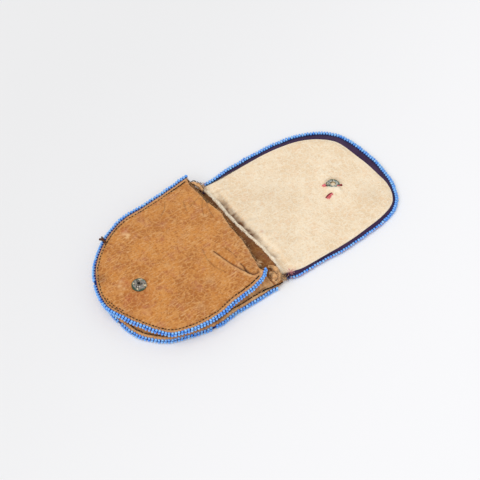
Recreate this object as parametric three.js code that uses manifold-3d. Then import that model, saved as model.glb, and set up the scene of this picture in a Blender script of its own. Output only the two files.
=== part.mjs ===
// A small hide belt pouch with beaded edges. It lies on its back on two belt loops, with its long
// flap spread open along +Y. Millimetres, +Z up; the origin is under the middle of the whole piece.
import * as THREE from "three";
import { mergeVertices } from "three/addons/utils/BufferGeometryUtils.js";
import Module from "manifold-3d";

// The body, measured over its beads from the sewn seam at y = 0 down towards -Y
const bodyWidth = 103.4;
const mouthWidth = 96;
const bodyLength = 106.5;
const bodyEndDepth = 55;
const bodyEndSquareness = 2.1;
const pouchDepth = 9.2;
const frontDomeHeight = 2.5;
const backDishHeight = 3;
const mouthSetback = 5.5;
const mouthBow = 2.5;
const mouthLean = 8;
const cornerRollHeight = 2.8;
const cornerRollReach = 9;
const cornerRollInset = 18;
const cornerRollSetback = 16;

// The flap, as wide as the body and measured over its beads from the seam out along +Y
const flapWidth = bodyWidth;
const flapRootWidth = 99;
const flapLength = 116.5;
const flapEndDepth = 50;
const flapEndSquareness = 2.6;
const ridgeRise = 0.6;
const ridgeLength = 12;
const valleyDepth = 0.9;
const valleyWidth = 3;
const valleySetback = 5;
const liningMargin = 2.2;

// Hide, cloth and the room that a seam leaves between two pieces
const hideThickness = 1.2;
const liningThickness = 1;
const clothThickness = 1;
const seamGap = 0.3;

// The beads: one lump for each stitch that is whipped over an edge
const beadRadius = 1.6;
const beadGroove = 1.2;
const stitchPitch = 2.1;
const beadSides = 5;
const edgingSetback = 4;

// The gusset is a strip folded inward along its middle
const gussetThickness = 1.2;
const gussetFold = 2.4;

// Two belt loops, sewn at both ends to the back
const loopWidth = 14;
const loopSpacing = 44;
const loopLength = 58;
const loopSewnEnd = 7;
const loopRise = 5;
const loopSetback = 14;
const loopThickness = 1.2;

// The sewn-on snap: a stud on the front and a socket on the flap, each as far from the hinge line
const snapReach = 78;
const snapAcross = 3.4;
const hingeSetback = 1.7;
const snapDiameter = 9.6;
const flangeThickness = 0.8;
const studPostDiameter = 3;
const studKnobDiameter = 3.4;
const studPostHeight = 1.3;
const studRimWidth = 0.5;
const studDish = 0.25;
const socketFlangeThickness = 0.6;
const socketRingDiameter = 6.4;
const socketHeight = 1.6;
const socketMouthDiameter = 4;
const socketGrooveDiameter = 5;
const socketLip = 0.35;
const springWire = 0.36;
const sewingHoleDiameter = 1.2;
const sewingHoles = 4;

// How finely the curved pieces are cut
const outlineSteps = 36;
const backRings = 4;
const frontRings = 7;
const flapRings = 6;
const ringCrowding = 1.8;
const rootSteps = 6;
const roundSteps = 20;
const holeSteps = 8;
const wireSteps = 6;
const springTurn = THREE.MathUtils.degToRad(300);

const edgingSeat = beadRadius * Math.cos(Math.PI / beadSides);
const panelInset = 2 * beadRadius + seamGap;

// An outline shaped like a tongue: two sides that widen from the root, then a rounded end.
// It runs from the left root corner round the tip to the right root corner.
class TongueOutline extends THREE.Curve {
  constructor({ width, rootWidth, length, endDepth, squareness, start, direction }) {
    super();
    this.arcLengthDivisions = 600;
    this.halfWidth = width / 2;
    this.taper = (width - rootWidth) / 2;
    this.shoulder = length - endDepth;
    this.endDepth = endDepth;
    this.squareness = squareness;
    this.start = start;
    this.direction = direction;
  }

  getPoint(t) {
    const side = t < 0.5 ? -1 : 1;
    const travel = 1 - Math.abs(2 * t - 1);
    const sideShare = this.shoulder / (this.shoulder + this.endDepth + this.halfWidth);
    if (travel < sideShare) {
      const distance = THREE.MathUtils.lerp(this.start, this.shoulder, travel / sideShare);
      const narrowing = ((this.shoulder - distance) / this.shoulder) ** 2;
      const across = this.halfWidth - this.taper * narrowing;
      return new THREE.Vector2(side * across, this.direction * distance);
    }
    const angle = ((travel - sideShare) / (1 - sideShare)) * (Math.PI / 2);
    const power = 2 / this.squareness;
    const across = this.halfWidth * Math.abs(Math.cos(angle)) ** power;
    const distance = this.shoulder + this.endDepth * Math.sin(angle) ** power;
    return new THREE.Vector2(side * across, this.direction * distance);
  }

  // A point of the outline, moved in from the edge by an inset
  insetPoint(u, inset) {
    const point = this.getPointAt(u);
    const tangent = this.getTangentAt(u);
    return new THREE.Vector2(
      point.x + this.direction * tangent.y * inset,
      point.y - this.direction * tangent.x * inset,
    );
  }

  // How far a place is from the edge in height terms: 1 along the middle, 0 at the edge
  rise(x, y) {
    const beyond = Math.max(0, this.direction * y - this.shoulder);
    const across = Math.abs(x / this.halfWidth) ** this.squareness;
    const along = (beyond / this.endDepth) ** this.squareness;
    return Math.max(0, 1 - (across + along) ** (2 / this.squareness));
  }
}

const bodySizes = {
  width: bodyWidth,
  rootWidth: mouthWidth,
  length: bodyLength,
  endDepth: bodyEndDepth,
  squareness: bodyEndSquareness,
  direction: -1,
};
const flapSizes = {
  width: flapWidth,
  rootWidth: flapRootWidth,
  length: flapLength,
  endDepth: flapEndDepth,
  squareness: flapEndSquareness,
  direction: 1,
};
const mouthCorner = mouthSetback + mouthBow;
const backOutline = new TongueOutline({ ...bodySizes, start: 0 });
const frontOutline = new TongueOutline({ ...bodySizes, start: mouthCorner });
const backEdgingOutline = new TongueOutline({ ...bodySizes, start: edgingSetback });
const flapOutline = new TongueOutline({ ...flapSizes, start: seamGap });
const flapEdgingOutline = new TongueOutline({ ...flapSizes, start: edgingSetback });

// Middle surfaces of the sheets
const frontEdgeHeight = edgingSeat + pouchDepth;
const liningEdgeHeight = edgingSeat + (clothThickness + liningThickness) / 2 + seamGap;

// The mouth of the front leans to the left over the back, most at the mouth itself
function leanAt(y) {
  const share = Math.max(0, 1 + y / backOutline.shoulder);
  return -mouthLean * share ** 2;
}

function backPlace(x, y) {
  return new THREE.Vector3(x, y, edgingSeat + backDishHeight * backOutline.rise(x, y));
}

// The front bulges over the pocket, and its right mouth corner rolls up above a crease
function frontPlace(x, y) {
  const rollX = bodyWidth / 2 - cornerRollInset;
  const fromRoll = Math.hypot(x - rollX, y + cornerRollSetback) / cornerRollReach;
  const height = frontDomeHeight + cornerRollHeight * Math.exp(-(fromRoll ** 2));
  return new THREE.Vector3(x + leanAt(y), y, frontEdgeHeight + height * frontOutline.rise(x, y));
}

// The lining lies flat. Near the back it dips into a valley and climbs to the ridge of its seam.
function liningPlace(x, y) {
  const climb = Math.max(0, 1 - y / ridgeLength) ** 2;
  const ridge = backPlace(x, 0).z + ridgeRise;
  const valley = valleyDepth * climb * Math.exp(-(((y - valleySetback) / valleyWidth) ** 2));
  return new THREE.Vector3(x, y, THREE.MathUtils.lerp(liningEdgeHeight, ridge, climb) - valley);
}

function coverPlace(x, y) {
  const place = liningPlace(x, y);
  place.z -= liningEdgeHeight - edgingSeat;
  return place;
}

// A closed mesh from points and triangles, turned so that its faces point out
function closedGeometry(points, triangles) {
  const volume = triangles.reduce((sum, [a, b, c]) => {
    return sum + points[a].dot(new THREE.Vector3().crossVectors(points[b], points[c]));
  }, 0);
  const outward = volume > 0 ? triangles : triangles.map(([a, b, c]) => [a, c, b]);
  const geometry = new THREE.BufferGeometry().setFromPoints(points);
  geometry.setIndex(outward.flat());
  geometry.computeVertexNormals();
  return geometry;
}

// Joins like sections into one body. Each section is a strip: its first half of points runs up one
// side and its second half comes back down the other, so the ends close across the strip.
function loft(sections) {
  const count = sections[0].length;
  const triangles = [];
  for (let s = 0; s < sections.length - 1; s += 1) {
    for (let k = 0; k < count; k += 1) {
      const a = s * count + k;
      const b = s * count + ((k + 1) % count);
      triangles.push([a, b, b + count], [a, b + count, a + count]);
    }
  }
  const last = (sections.length - 1) * count;
  for (let k = 0, m = count - 1; k + 1 < m; k += 1, m -= 1) {
    triangles.push([last + k, last + k + 1, last + m], [k + 1, k, m]);
    if (k + 1 < m - 1) {
      triangles.push([last + k + 1, last + m - 1, last + m], [m - 1, k + 1, m]);
    }
  }
  return closedGeometry(sections.flat(), triangles);
}

// A sheet of even thickness inside an outline. Its rings shrink from the edge to its middle, and
// lie closer together near the edge, where the sheet bends most.
function sheet({ outline, inset, thickness, place, rings, rootBow = 0 }) {
  const edge = [];
  for (let i = 0; i <= outlineSteps; i += 1) {
    edge.push(outline.insetPoint(i / outlineSteps, inset));
  }
  const corner = edge[outlineSteps];
  corner.y = outline.direction * outline.start;
  edge[0].y = corner.y;
  for (let i = 1; i < rootSteps; i += 1) {
    const x = corner.x * (1 - (2 * i) / rootSteps);
    const bow = rootBow * (1 - (x / corner.x) ** 2);
    edge.push(new THREE.Vector2(x, corner.y - outline.direction * bow));
  }
  const middle = new THREE.Vector2(0, (outline.direction * outline.shoulder + corner.y) / 2);
  const points = [];
  for (let r = 0; r < rings; r += 1) {
    const share = 1 - (r / rings) ** ringCrowding;
    for (const point of edge) {
      const ring = middle.clone().lerp(point, share);
      const centre = place(ring.x, ring.y);
      points.push(centre.clone().setZ(centre.z + thickness / 2));
      points.push(centre.clone().setZ(centre.z - thickness / 2));
    }
  }
  const centre = place(middle.x, middle.y);
  points.push(centre.clone().setZ(centre.z + thickness / 2));
  points.push(centre.clone().setZ(centre.z - thickness / 2));
  const triangles = [];
  const around = edge.length;
  const apex = 2 * rings * around;
  for (let k = 0; k < around; k += 1) {
    const here = 2 * k;
    const next = 2 * ((k + 1) % around);
    triangles.push([here + 1, next + 1, next], [here + 1, next, here]);
    for (let r = 0; r < rings - 1; r += 1) {
      const outer = 2 * r * around;
      const inner = outer + 2 * around;
      triangles.push([outer + here, outer + next, inner + next]);
      triangles.push([outer + here, inner + next, inner + here]);
      triangles.push([outer + next + 1, outer + here + 1, inner + next + 1]);
      triangles.push([inner + next + 1, outer + here + 1, inner + here + 1]);
    }
    const lastRing = 2 * (rings - 1) * around;
    triangles.push([lastRing + here, lastRing + next, apex]);
    triangles.push([lastRing + next + 1, lastRing + here + 1, apex + 1]);
  }
  return closedGeometry(points, triangles);
}

// A row of bead lumps along an outline, full at each stitch and thin between two stitches
function beadEdging(outline, height, lean) {
  const stitches = Math.round(outline.getLength() / stitchPitch);
  const sections = [];
  for (let i = 0; i <= 2 * stitches; i += 1) {
    const u = i / (2 * stitches);
    const centre = outline.insetPoint(u, beadRadius);
    const tangent = outline.getTangentAt(u);
    const radius = i % 2 === 0 ? beadGroove : beadRadius;
    const section = [];
    for (let k = 0; k < beadSides; k += 1) {
      const angle = Math.PI / 2 + (2 * Math.PI * k) / beadSides;
      const across = radius * Math.cos(angle);
      section.push(new THREE.Vector3(
        centre.x + across * tangent.y + lean(centre.y),
        centre.y - across * tangent.x,
        height + radius * Math.sin(angle),
      ));
    }
    sections.push(section);
  }
  return loft(sections);
}

// The gusset follows the body's edge, just inside its beads, between the back and the front
function gusset() {
  const outerInset = panelInset + seamGap;
  const sections = [];
  for (let i = 0; i <= outlineSteps; i += 1) {
    const u = i / outlineSteps;
    const strip = (inset, share) => {
      const flat = frontOutline.insetPoint(u, inset);
      const low = backPlace(flat.x, flat.y).z + hideThickness / 2 + seamGap;
      const high = frontPlace(flat.x, flat.y).z - hideThickness / 2 - seamGap;
      const x = flat.x + share * leanAt(flat.y);
      return new THREE.Vector3(x, flat.y, THREE.MathUtils.lerp(low, high, share));
    };
    sections.push([
      strip(outerInset, 0),
      strip(outerInset + gussetFold, 0.5),
      strip(outerInset, 1),
      strip(outerInset + gussetThickness, 1),
      strip(outerInset + gussetThickness + gussetFold, 0.5),
      strip(outerInset + gussetThickness, 0),
    ]);
  }
  return loft(sections);
}

// A belt loop: a strap flat on the ground between two ends that rise to the back's underside
function beltLoop(across) {
  const outside = Math.abs(across) + loopWidth / 2;
  const near = -loopSetback;
  const far = near - loopLength;
  const sewn = (y) => {
    const under = Math.min(backPlace(outside, y).z, backPlace(outside, y - loopSewnEnd).z);
    return under - hideThickness / 2 - seamGap;
  };
  const nearTop = sewn(near);
  const farTop = sewn(far + loopSewnEnd);
  const top = [
    [near, nearTop],
    [near - loopSewnEnd, nearTop],
    [near - loopSewnEnd - loopRise, loopThickness],
    [far + loopSewnEnd + loopRise, loopThickness],
    [far + loopSewnEnd, farTop],
    [far, farTop],
  ];
  const left = across - loopWidth / 2;
  const right = across + loopWidth / 2;
  const sections = top.map(([y, z]) => [
    new THREE.Vector3(left, y, z - loopThickness),
    new THREE.Vector3(left, y, z),
    new THREE.Vector3(right, y, z),
    new THREE.Vector3(right, y, z - loopThickness),
  ]);
  return loft(sections);
}

const wasm = await Module();
wasm.setup();

function toSolid(geometry) {
  const bare = geometry.clone();
  bare.deleteAttribute("normal");
  bare.deleteAttribute("uv");
  const merged = mergeVertices(bare, 1e-4);
  const index = Array.from(merged.index.array);
  const triVerts = [];
  for (let i = 0; i < index.length; i += 3) {
    const [a, b, c] = index.slice(i, i + 3);
    if (a !== b && b !== c && c !== a) {
      triVerts.push(a, b, c);
    }
  }
  const vertProperties = new Float32Array(merged.attributes.position.array);
  return new wasm.Manifold(new wasm.Mesh({
    numProp: 3,
    vertProperties,
    triVerts: new Uint32Array(triVerts),
  }));
}

function toGeometry(solid) {
  const mesh = solid.getMesh();
  const geometry = new THREE.BufferGeometry();
  geometry.setAttribute("position", new THREE.BufferAttribute(mesh.vertProperties, 3));
  geometry.setIndex(new THREE.BufferAttribute(mesh.triVerts, 1));
  geometry.computeVertexNormals();
  return geometry;
}

// Turns a profile of [radius, height] pairs about the vertical
function turned(profile, steps) {
  const points = profile.map(([radius, height]) => new THREE.Vector2(radius, height));
  return new THREE.LatheGeometry(points, steps).rotateX(Math.PI / 2);
}

// Drills the sewing holes of a snap half through its flange
function drilled(geometry, innerRadius) {
  const holeCircle = (innerRadius + snapDiameter / 2) / 2;
  let solid = toSolid(geometry);
  for (let i = 0; i < sewingHoles; i += 1) {
    const angle = ((i + 0.5) / sewingHoles) * 2 * Math.PI;
    const radius = sewingHoleDiameter / 2;
    const drill = new THREE.CylinderGeometry(radius, radius, 4 * socketHeight, holeSteps);
    drill.rotateX(Math.PI / 2);
    drill.translate(holeCircle * Math.cos(angle), holeCircle * Math.sin(angle), 0);
    solid = solid.subtract(toSolid(drill));
  }
  return toGeometry(solid);
}

function snapStud() {
  const flange = snapDiameter / 2;
  const post = studPostDiameter / 2;
  const knob = studKnobDiameter / 2;
  const top = flangeThickness + studPostHeight;
  const profile = [
    [0, 0],
    [flange, 0],
    [flange, flangeThickness - studRimWidth / 2],
    [flange - studRimWidth / 2, flangeThickness],
    [flange - studRimWidth, flangeThickness],
    [flange - 2 * studRimWidth, flangeThickness - studDish],
    [post + studRimWidth, flangeThickness - studDish],
    [post, flangeThickness],
    [post, flangeThickness + studPostHeight * 0.3],
    [knob, flangeThickness + studPostHeight * 0.6],
    [post, top],
    [0, top],
  ];
  return drilled(turned(profile, roundSteps), knob);
}

function snapSocket() {
  const flange = snapDiameter / 2;
  const ring = socketRingDiameter / 2;
  const mouth = socketMouthDiameter / 2;
  const groove = socketGrooveDiameter / 2;
  const profile = [
    [mouth, 0],
    [flange, 0],
    [flange, socketFlangeThickness],
    [ring, socketFlangeThickness],
    [ring, socketHeight - socketLip / 2],
    [ring - socketLip / 2, socketHeight],
    [mouth, socketHeight],
    [mouth, socketHeight - socketLip],
    [groove, socketHeight - socketLip],
    [groove, socketLip],
    [mouth, socketLip],
    [mouth, 0],
  ];
  return drilled(turned(profile, roundSteps), ring);
}

// The open wire ring that grips the stud, loose in the socket's groove
function snapSpring() {
  const radius = (socketGrooveDiameter - springWire) / 2 - seamGap;
  const path = new THREE.Curve();
  path.getPoint = (t) => {
    const angle = springTurn * t;
    return new THREE.Vector3(radius * Math.cos(angle), radius * Math.sin(angle), 0);
  };
  const section = new THREE.Shape().absarc(0, 0, springWire / 2, 0, 2 * Math.PI);
  return new THREE.ExtrudeGeometry(section, {
    extrudePath: path,
    steps: roundSteps,
    curveSegments: wireSteps / 2,
  });
}

// The lowest level at which a flat disc clears a sheet's upper face
function discSeat(place, x, y, thickness) {
  const radius = snapDiameter / 2;
  const levels = [[0, 0], [1, 0], [-1, 0], [0, 1], [0, -1]].map(([dx, dy]) => {
    return place(x + dx * radius, y + dy * radius).z;
  });
  return Math.max(...levels) + thickness / 2 + seamGap;
}

const tanHide = { color: 0xc58a55, roughness: 0.9, metalness: 0 };
const creamHide = { color: 0xe9d9bd, roughness: 0.92, metalness: 0 };
const purpleCloth = { color: 0x32203f, roughness: 0.95, metalness: 0 };
const blueBeads = { color: 0x3d86d8, roughness: 0.25, metalness: 0 };
const tarnishedMetal = { color: 0x8b8f86, roughness: 0.45, metalness: 0.9 };
const springBrass = { color: 0xa58b52, roughness: 0.4, metalness: 0.9 };

function piece(name, geometry, finish) {
  const mesh = new THREE.Mesh(geometry, new THREE.MeshStandardMaterial(finish));
  mesh.name = name;
  return mesh;
}

const upright = () => 0;
const backPanel = piece("back_panel", sheet({
  outline: backOutline,
  inset: panelInset,
  thickness: hideThickness,
  place: backPlace,
  rings: backRings,
}), tanHide);
const frontPanel = piece("front_panel", sheet({
  outline: frontOutline,
  inset: panelInset,
  thickness: hideThickness,
  place: frontPlace,
  rings: frontRings,
  rootBow: mouthBow,
}), tanHide);
const gussetStrip = piece("gusset", gusset(), tanHide);
const backEdging = piece("back_bead_edging", beadEdging(
  backEdgingOutline, edgingSeat, upright,
), blueBeads);
const frontEdging = piece("front_bead_edging", beadEdging(
  frontOutline, frontEdgeHeight, leanAt,
), blueBeads);
const leftLoop = piece("belt_loop_left", beltLoop(-loopSpacing / 2), tanHide);
const rightLoop = piece("belt_loop_right", beltLoop(loopSpacing / 2), tanHide);

const stud = piece("snap_stud", snapStud(), tarnishedMetal);
const studY = -hingeSetback - snapReach;
stud.position.set(snapAcross, studY, discSeat(frontPlace, snapAcross, studY, hideThickness));

const flapCover = piece("flap_cover", sheet({
  outline: flapOutline,
  inset: panelInset,
  thickness: clothThickness,
  place: coverPlace,
  rings: flapRings,
}), purpleCloth);
const flapLining = piece("flap_lining", sheet({
  outline: flapOutline,
  inset: panelInset + liningMargin,
  thickness: liningThickness,
  place: liningPlace,
  rings: flapRings,
}), creamHide);
const flapEdging = piece("flap_bead_edging", beadEdging(
  flapEdgingOutline, edgingSeat, upright,
), blueBeads);

const socket = piece("snap_socket", snapSocket(), tarnishedMetal);
const socketY = -hingeSetback + snapReach;
const socketBase = discSeat(liningPlace, snapAcross, socketY, liningThickness);
socket.position.set(snapAcross, socketY, socketBase);
const spring = piece("snap_spring", snapSpring(), springBrass);
spring.position.set(snapAcross, socketY, socketBase + socketHeight / 2);

const body = new THREE.Group();
body.add(backPanel, frontPanel, gussetStrip, backEdging, frontEdging, leftLoop, rightLoop, stud);
const flap = new THREE.Group();
flap.add(flapCover, flapLining, flapEdging, socket, spring);

// The origin goes under the middle of the open pouch
const beltPouch = new THREE.Group();
beltPouch.add(body, flap);
const extent = new THREE.Box3().setFromObject(beltPouch, true);
const middle = extent.getCenter(new THREE.Vector3());
beltPouch.position.set(-middle.x, -middle.y, -extent.min.z);

export default beltPouch;
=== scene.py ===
import math

import bpy
import numpy as np
from mathutils import Matrix, Vector
from mathutils.geometry import delaunay_2d_cdt


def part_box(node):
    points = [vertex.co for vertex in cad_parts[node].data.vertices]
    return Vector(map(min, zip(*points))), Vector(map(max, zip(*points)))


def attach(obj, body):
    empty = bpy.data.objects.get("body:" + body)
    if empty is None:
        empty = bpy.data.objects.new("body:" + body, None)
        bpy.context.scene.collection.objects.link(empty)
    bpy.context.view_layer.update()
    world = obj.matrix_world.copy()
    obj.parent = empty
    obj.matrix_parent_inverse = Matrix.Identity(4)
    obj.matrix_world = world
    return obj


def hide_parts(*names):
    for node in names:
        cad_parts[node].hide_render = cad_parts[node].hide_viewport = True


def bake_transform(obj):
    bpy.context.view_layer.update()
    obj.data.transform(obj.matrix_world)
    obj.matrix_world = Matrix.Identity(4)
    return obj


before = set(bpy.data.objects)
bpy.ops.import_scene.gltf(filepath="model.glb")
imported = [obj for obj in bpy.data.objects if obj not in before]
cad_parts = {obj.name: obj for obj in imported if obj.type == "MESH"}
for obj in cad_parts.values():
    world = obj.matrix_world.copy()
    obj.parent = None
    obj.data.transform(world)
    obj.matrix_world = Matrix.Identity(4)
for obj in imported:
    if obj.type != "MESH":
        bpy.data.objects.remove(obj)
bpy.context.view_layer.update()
MM = 0.001

# The view
# The pouch lies open and is seen from above its right mouth corner, a little over half a metre away,
# through a short telephoto lens.
view_azimuth = math.radians(55)
view_elevation = math.radians(54)
view_distance = 600 * MM
view_target = Vector((3.7, -5.0, 3.0)) * MM
view_shift_right = 1.33 * MM
view_shift_up = 3.34 * MM
lens_length = 67.47
sensor_width = 36.0

back_from_target = Vector((
    math.sin(view_azimuth) * math.cos(view_elevation),
    -math.cos(view_azimuth) * math.cos(view_elevation),
    math.sin(view_elevation),
))
view_right = (-back_from_target).cross(Vector((0, 0, 1))).normalized()
view_up = view_right.cross(-back_from_target)
camera_data = bpy.data.cameras.new("camera")
camera_data.lens = lens_length
camera_data.sensor_width = sensor_width
camera = bpy.data.objects.new("camera", camera_data)
camera.rotation_mode = "QUATERNION"
view_turn = Matrix((view_right, view_up, back_from_target)).transposed()
camera.rotation_quaternion = view_turn.to_quaternion()
camera.location = (
    view_target + back_from_target * view_distance
    - view_right * view_shift_right - view_up * view_shift_up
)
bpy.context.scene.collection.objects.link(camera)
bpy.context.scene.camera = camera
bpy.context.scene.view_settings.view_transform = "Standard"


# The studio
# A sheet of pale paper under the pouch, lit by a wide soft lamp high behind the viewer's left
# shoulder and by white walls, so that the shadows are faint and close to the pouch. The paper's
# colour is graded paler to the right and near the viewer: a painted fall-off of the light.
def linear(code, alpha=1.0):
    """The linear colour of an sRGB hex code."""
    shares = [int(code[i:i + 2], 16) / 255 for i in (1, 3, 5)]
    return (*[s / 12.92 if s <= 0.04045 else ((s + 0.055) / 1.055) ** 2.4 for s in shares], alpha)


def new_material(name):
    """An empty material's node tree with its surface output."""
    material = bpy.data.materials.new(name)
    material.use_nodes = True
    material.node_tree.nodes.clear()
    return material, material.node_tree


def add_node(tree, kind, inputs=None, **settings):
    """Adds a node with its settings; each input takes a plain value or another node's socket."""
    node = tree.nodes.new(kind)
    for name, value in settings.items():
        setattr(node, name, value)
    for place, value in (inputs or {}).items():
        if isinstance(value, bpy.types.NodeSocket):
            tree.links.new(value, node.inputs[place])
        else:
            node.inputs[place].default_value = value
    return node


paper_painted_shade = "#EDEDEE"
paper_painted_light = "#FAFAFC"
paper_reach = 0.26
paper_lean = 0.6
paper_size = 6.0
lamp_share = 0.5
lamp_height = math.radians(60)
lamp_azimuth = math.radians(292)
lamp_softness = math.radians(70)

paper_material, tree = new_material("matt_background_paper")
place = add_node(tree, "ShaderNodeNewGeometry")
across = add_node(tree, "ShaderNodeVectorMath", {
    0: place.outputs["Position"],
    1: (math.cos(view_azimuth) + math.sin(view_azimuth) * paper_lean,
        math.sin(view_azimuth) - math.cos(view_azimuth) * paper_lean, 0),
}, operation="DOT_PRODUCT")
# Painted light: the paper's colour runs from painted shade to painted light across the view.
painted_light_share = add_node(tree, "ShaderNodeMapRange", {
    "Value": across.outputs["Value"], "From Min": -paper_reach, "From Max": paper_reach,
}, interpolation_type="SMOOTHSTEP")
paper_colour = add_node(tree, "ShaderNodeMix", {
    0: painted_light_share.outputs[0], 6: linear(paper_painted_shade), 7: linear(paper_painted_light),
}, data_type="RGBA")
paper_surface = add_node(tree, "ShaderNodeBsdfDiffuse", {"Color": paper_colour.outputs[2]})
add_node(tree, "ShaderNodeOutputMaterial", {"Surface": paper_surface.outputs[0]})
paper_mesh = bpy.data.meshes.new("background_paper")
paper_mesh.from_pydata(
    [(x * paper_size / 2, y * paper_size / 2, 0) for x, y in ((-1, -1), (1, -1), (1, 1), (-1, 1))],
    [], [(0, 1, 2, 3)],
)
paper_mesh.materials.append(paper_material)
paper = bpy.data.objects.new("background_paper", paper_mesh)
bpy.context.scene.collection.objects.link(paper)

world = bpy.data.worlds.new("white_walls")
world.use_nodes = True
world.node_tree.nodes.clear()
walls = add_node(world.node_tree, "ShaderNodeBackground", {
    "Color": linear("#FFFFFF"), "Strength": 1 - lamp_share,
})
add_node(world.node_tree, "ShaderNodeOutputWorld", {"Surface": walls.outputs[0]})
bpy.context.scene.world = world

lamp_data = bpy.data.lights.new("soft_lamp", "SUN")
lamp_data.energy = lamp_share * math.pi / math.sin(lamp_height)
lamp_data.angle = lamp_softness
lamp = bpy.data.objects.new("soft_lamp", lamp_data)
towards_lamp = Vector((
    math.cos(lamp_azimuth) * math.cos(lamp_height),
    math.sin(lamp_azimuth) * math.cos(lamp_height),
    math.sin(lamp_height),
))
lamp.rotation_mode = "QUATERNION"
lamp.rotation_quaternion = towards_lamp.to_track_quat("Z", "Y")
bpy.context.scene.collection.objects.link(lamp)


# The back of the body
# One piece of smoked buckskin, cut with a rounded bottom. It is arched over the belt loops it lies
# on and drawn down at the beads that are whipped over its edge.
def smooth_line(points, step=0.5):
    """A smooth line through given points, as points that are a step apart."""
    p = np.array(points, float)
    p = np.vstack([2 * p[0] - p[1], p, 2 * p[-1] - p[-2]])
    t = np.linspace(0, 1, 24, endpoint=False)[:, None]
    runs = []
    for a, b, c, d in zip(p, p[1:], p[2:], p[3:]):
        runs.append(0.5 * (
            2 * b + (c - a) * t + (2 * a - 5 * b + 4 * c - d) * t ** 2
            + (3 * b - a - 3 * c + d) * t ** 3
        ))
    return even_steps(np.vstack([*runs, p[-2:-1]]), step)


def even_steps(line, step):
    """The same line with its points an even step apart."""
    travel = np.concatenate([[0], np.cumsum(np.linalg.norm(np.diff(line, axis=0), axis=1))])
    count = max(2, round(travel[-1] / step) + 1)
    where = np.linspace(0, travel[-1], count)
    return np.stack([np.interp(where, travel, line[:, k]) for k in range(line.shape[1])], 1)


def inward(line):
    """For each point of a line that runs round a piece, the direction into the piece."""
    run = np.gradient(line, axis=0)
    run /= np.linalg.norm(run, axis=1)[:, None]
    return np.stack([-run[:, 1], run[:, 0]], 1)


def inset(line, distance):
    """The line moved into the piece by a distance, or by one distance for each of its points."""
    return line + inward(line) * distance


def nearest(points, line):
    """Each point's distance to a line, how far along the line that is, and its side: 1 is left."""
    start, run = line[:-1], np.diff(line, axis=0)
    length = np.linalg.norm(run, axis=1)
    travel = np.concatenate([[0], np.cumsum(length)])
    found = [np.empty(len(points)) for _ in range(3)]
    for first in range(0, len(points), 4000):
        part = points[first:first + 4000]
        away = part[:, None] - start[None]
        share = np.clip((away * run[None]).sum(2) / (length ** 2)[None], 0, 1)
        gap = away - share[..., None] * run[None]
        distance = np.hypot(gap[..., 0], gap[..., 1])
        best = distance.argmin(1)
        rows = np.arange(len(part))
        cross = run[best, 0] * away[rows, best, 1] - run[best, 1] * away[rows, best, 0]
        found[0][first:first + 4000] = distance[rows, best]
        found[1][first:first + 4000] = travel[best] + share[rows, best] * length[best]
        found[2][first:first + 4000] = np.sign(cross)
    return found


def inside(points, outline):
    """Whether each point lies inside a closed outline."""
    a, b = outline, np.roll(outline, -1, axis=0)
    result = np.zeros(len(points), bool)
    for first in range(0, len(points), 4000):
        x, y = points[first:first + 4000].T[:, :, None]
        spans = (a[None, :, 1] > y) != (b[None, :, 1] > y)
        with np.errstate(divide="ignore", invalid="ignore"):
            cut = a[:, 0] + (y - a[:, 1]) * (b[:, 0] - a[:, 0]) / (b[:, 1] - a[:, 1])
        result[first:first + 4000] = (spans & (x < cut)).sum(1) % 2 == 1
    return result


def bumps(points, size, seed):
    """Smooth seeded unevenness from -1 to 1 over points, with lumps of a size in millimetres."""
    lattice = np.random.default_rng(seed).uniform(-1, 1, (64, 64))
    cell = np.floor(points / size).astype(int)
    f = points / size - cell
    f = f * f * (3 - 2 * f)
    i, j = cell[:, 0] % 64, cell[:, 1] % 64
    i2, j2 = (i + 1) % 64, (j + 1) % 64
    low = lattice[i, j] * (1 - f[:, 0]) + lattice[i2, j] * f[:, 0]
    high = lattice[i, j2] * (1 - f[:, 0]) + lattice[i2, j2] * f[:, 0]
    return low * (1 - f[:, 1]) + high * f[:, 1]


def smooth(value, low, high):
    """A smooth step from 0 at low to 1 at high."""
    t = np.clip((value - low) / (high - low), 0, 1)
    return t * t * (3 - 2 * t)


def bell(distance, reach):
    """A soft bump: 1 at no distance, about a third at its reach."""
    return np.exp(-(distance / reach) ** 2)


def unevenness(points, rows):
    """Several sizes of bumps added up. Each row holds a height, a size and a seed."""
    return sum(height * bumps(points, size, seed) for height, size, seed in rows)


def make_piece(name, points, faces, material, rest=None, wear_and_shading=None):
    """A smooth mesh from points in millimetres, with its flat places and its wear and painted shading
    for patterns.
    """
    mesh = bpy.data.meshes.new(name)
    mesh.from_pydata((np.asarray(points) * MM).tolist(), [], faces)
    mesh.shade_smooth()
    flat_place = points if rest is None else rest
    mesh.attributes.new("rest", "FLOAT_VECTOR", "POINT").data.foreach_set(
        "vector", (np.asarray(flat_place) * MM).astype(np.float32).ravel())
    colour = np.zeros((len(points), 4), np.float32) if wear_and_shading is None else wear_and_shading.astype(np.float32)
    mesh.attributes.new("wear_and_shading", "FLOAT_COLOR", "POINT").data.foreach_set("color", colour.ravel())
    mesh.materials.append(material)
    made = bpy.data.objects.new(name, mesh)
    bpy.context.scene.collection.objects.link(made)
    return made


grid_unevenness = 0.12
edge_rings = (0.1, 0.3, 0.6)
fold_rows = (-0.9, -0.45, 0, 0.45, 0.9)
clear_of_edge, clear_of_fold = 0.9, 1.2
closest_to_edge, on_the_edge = 0.08, 0.02


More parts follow.
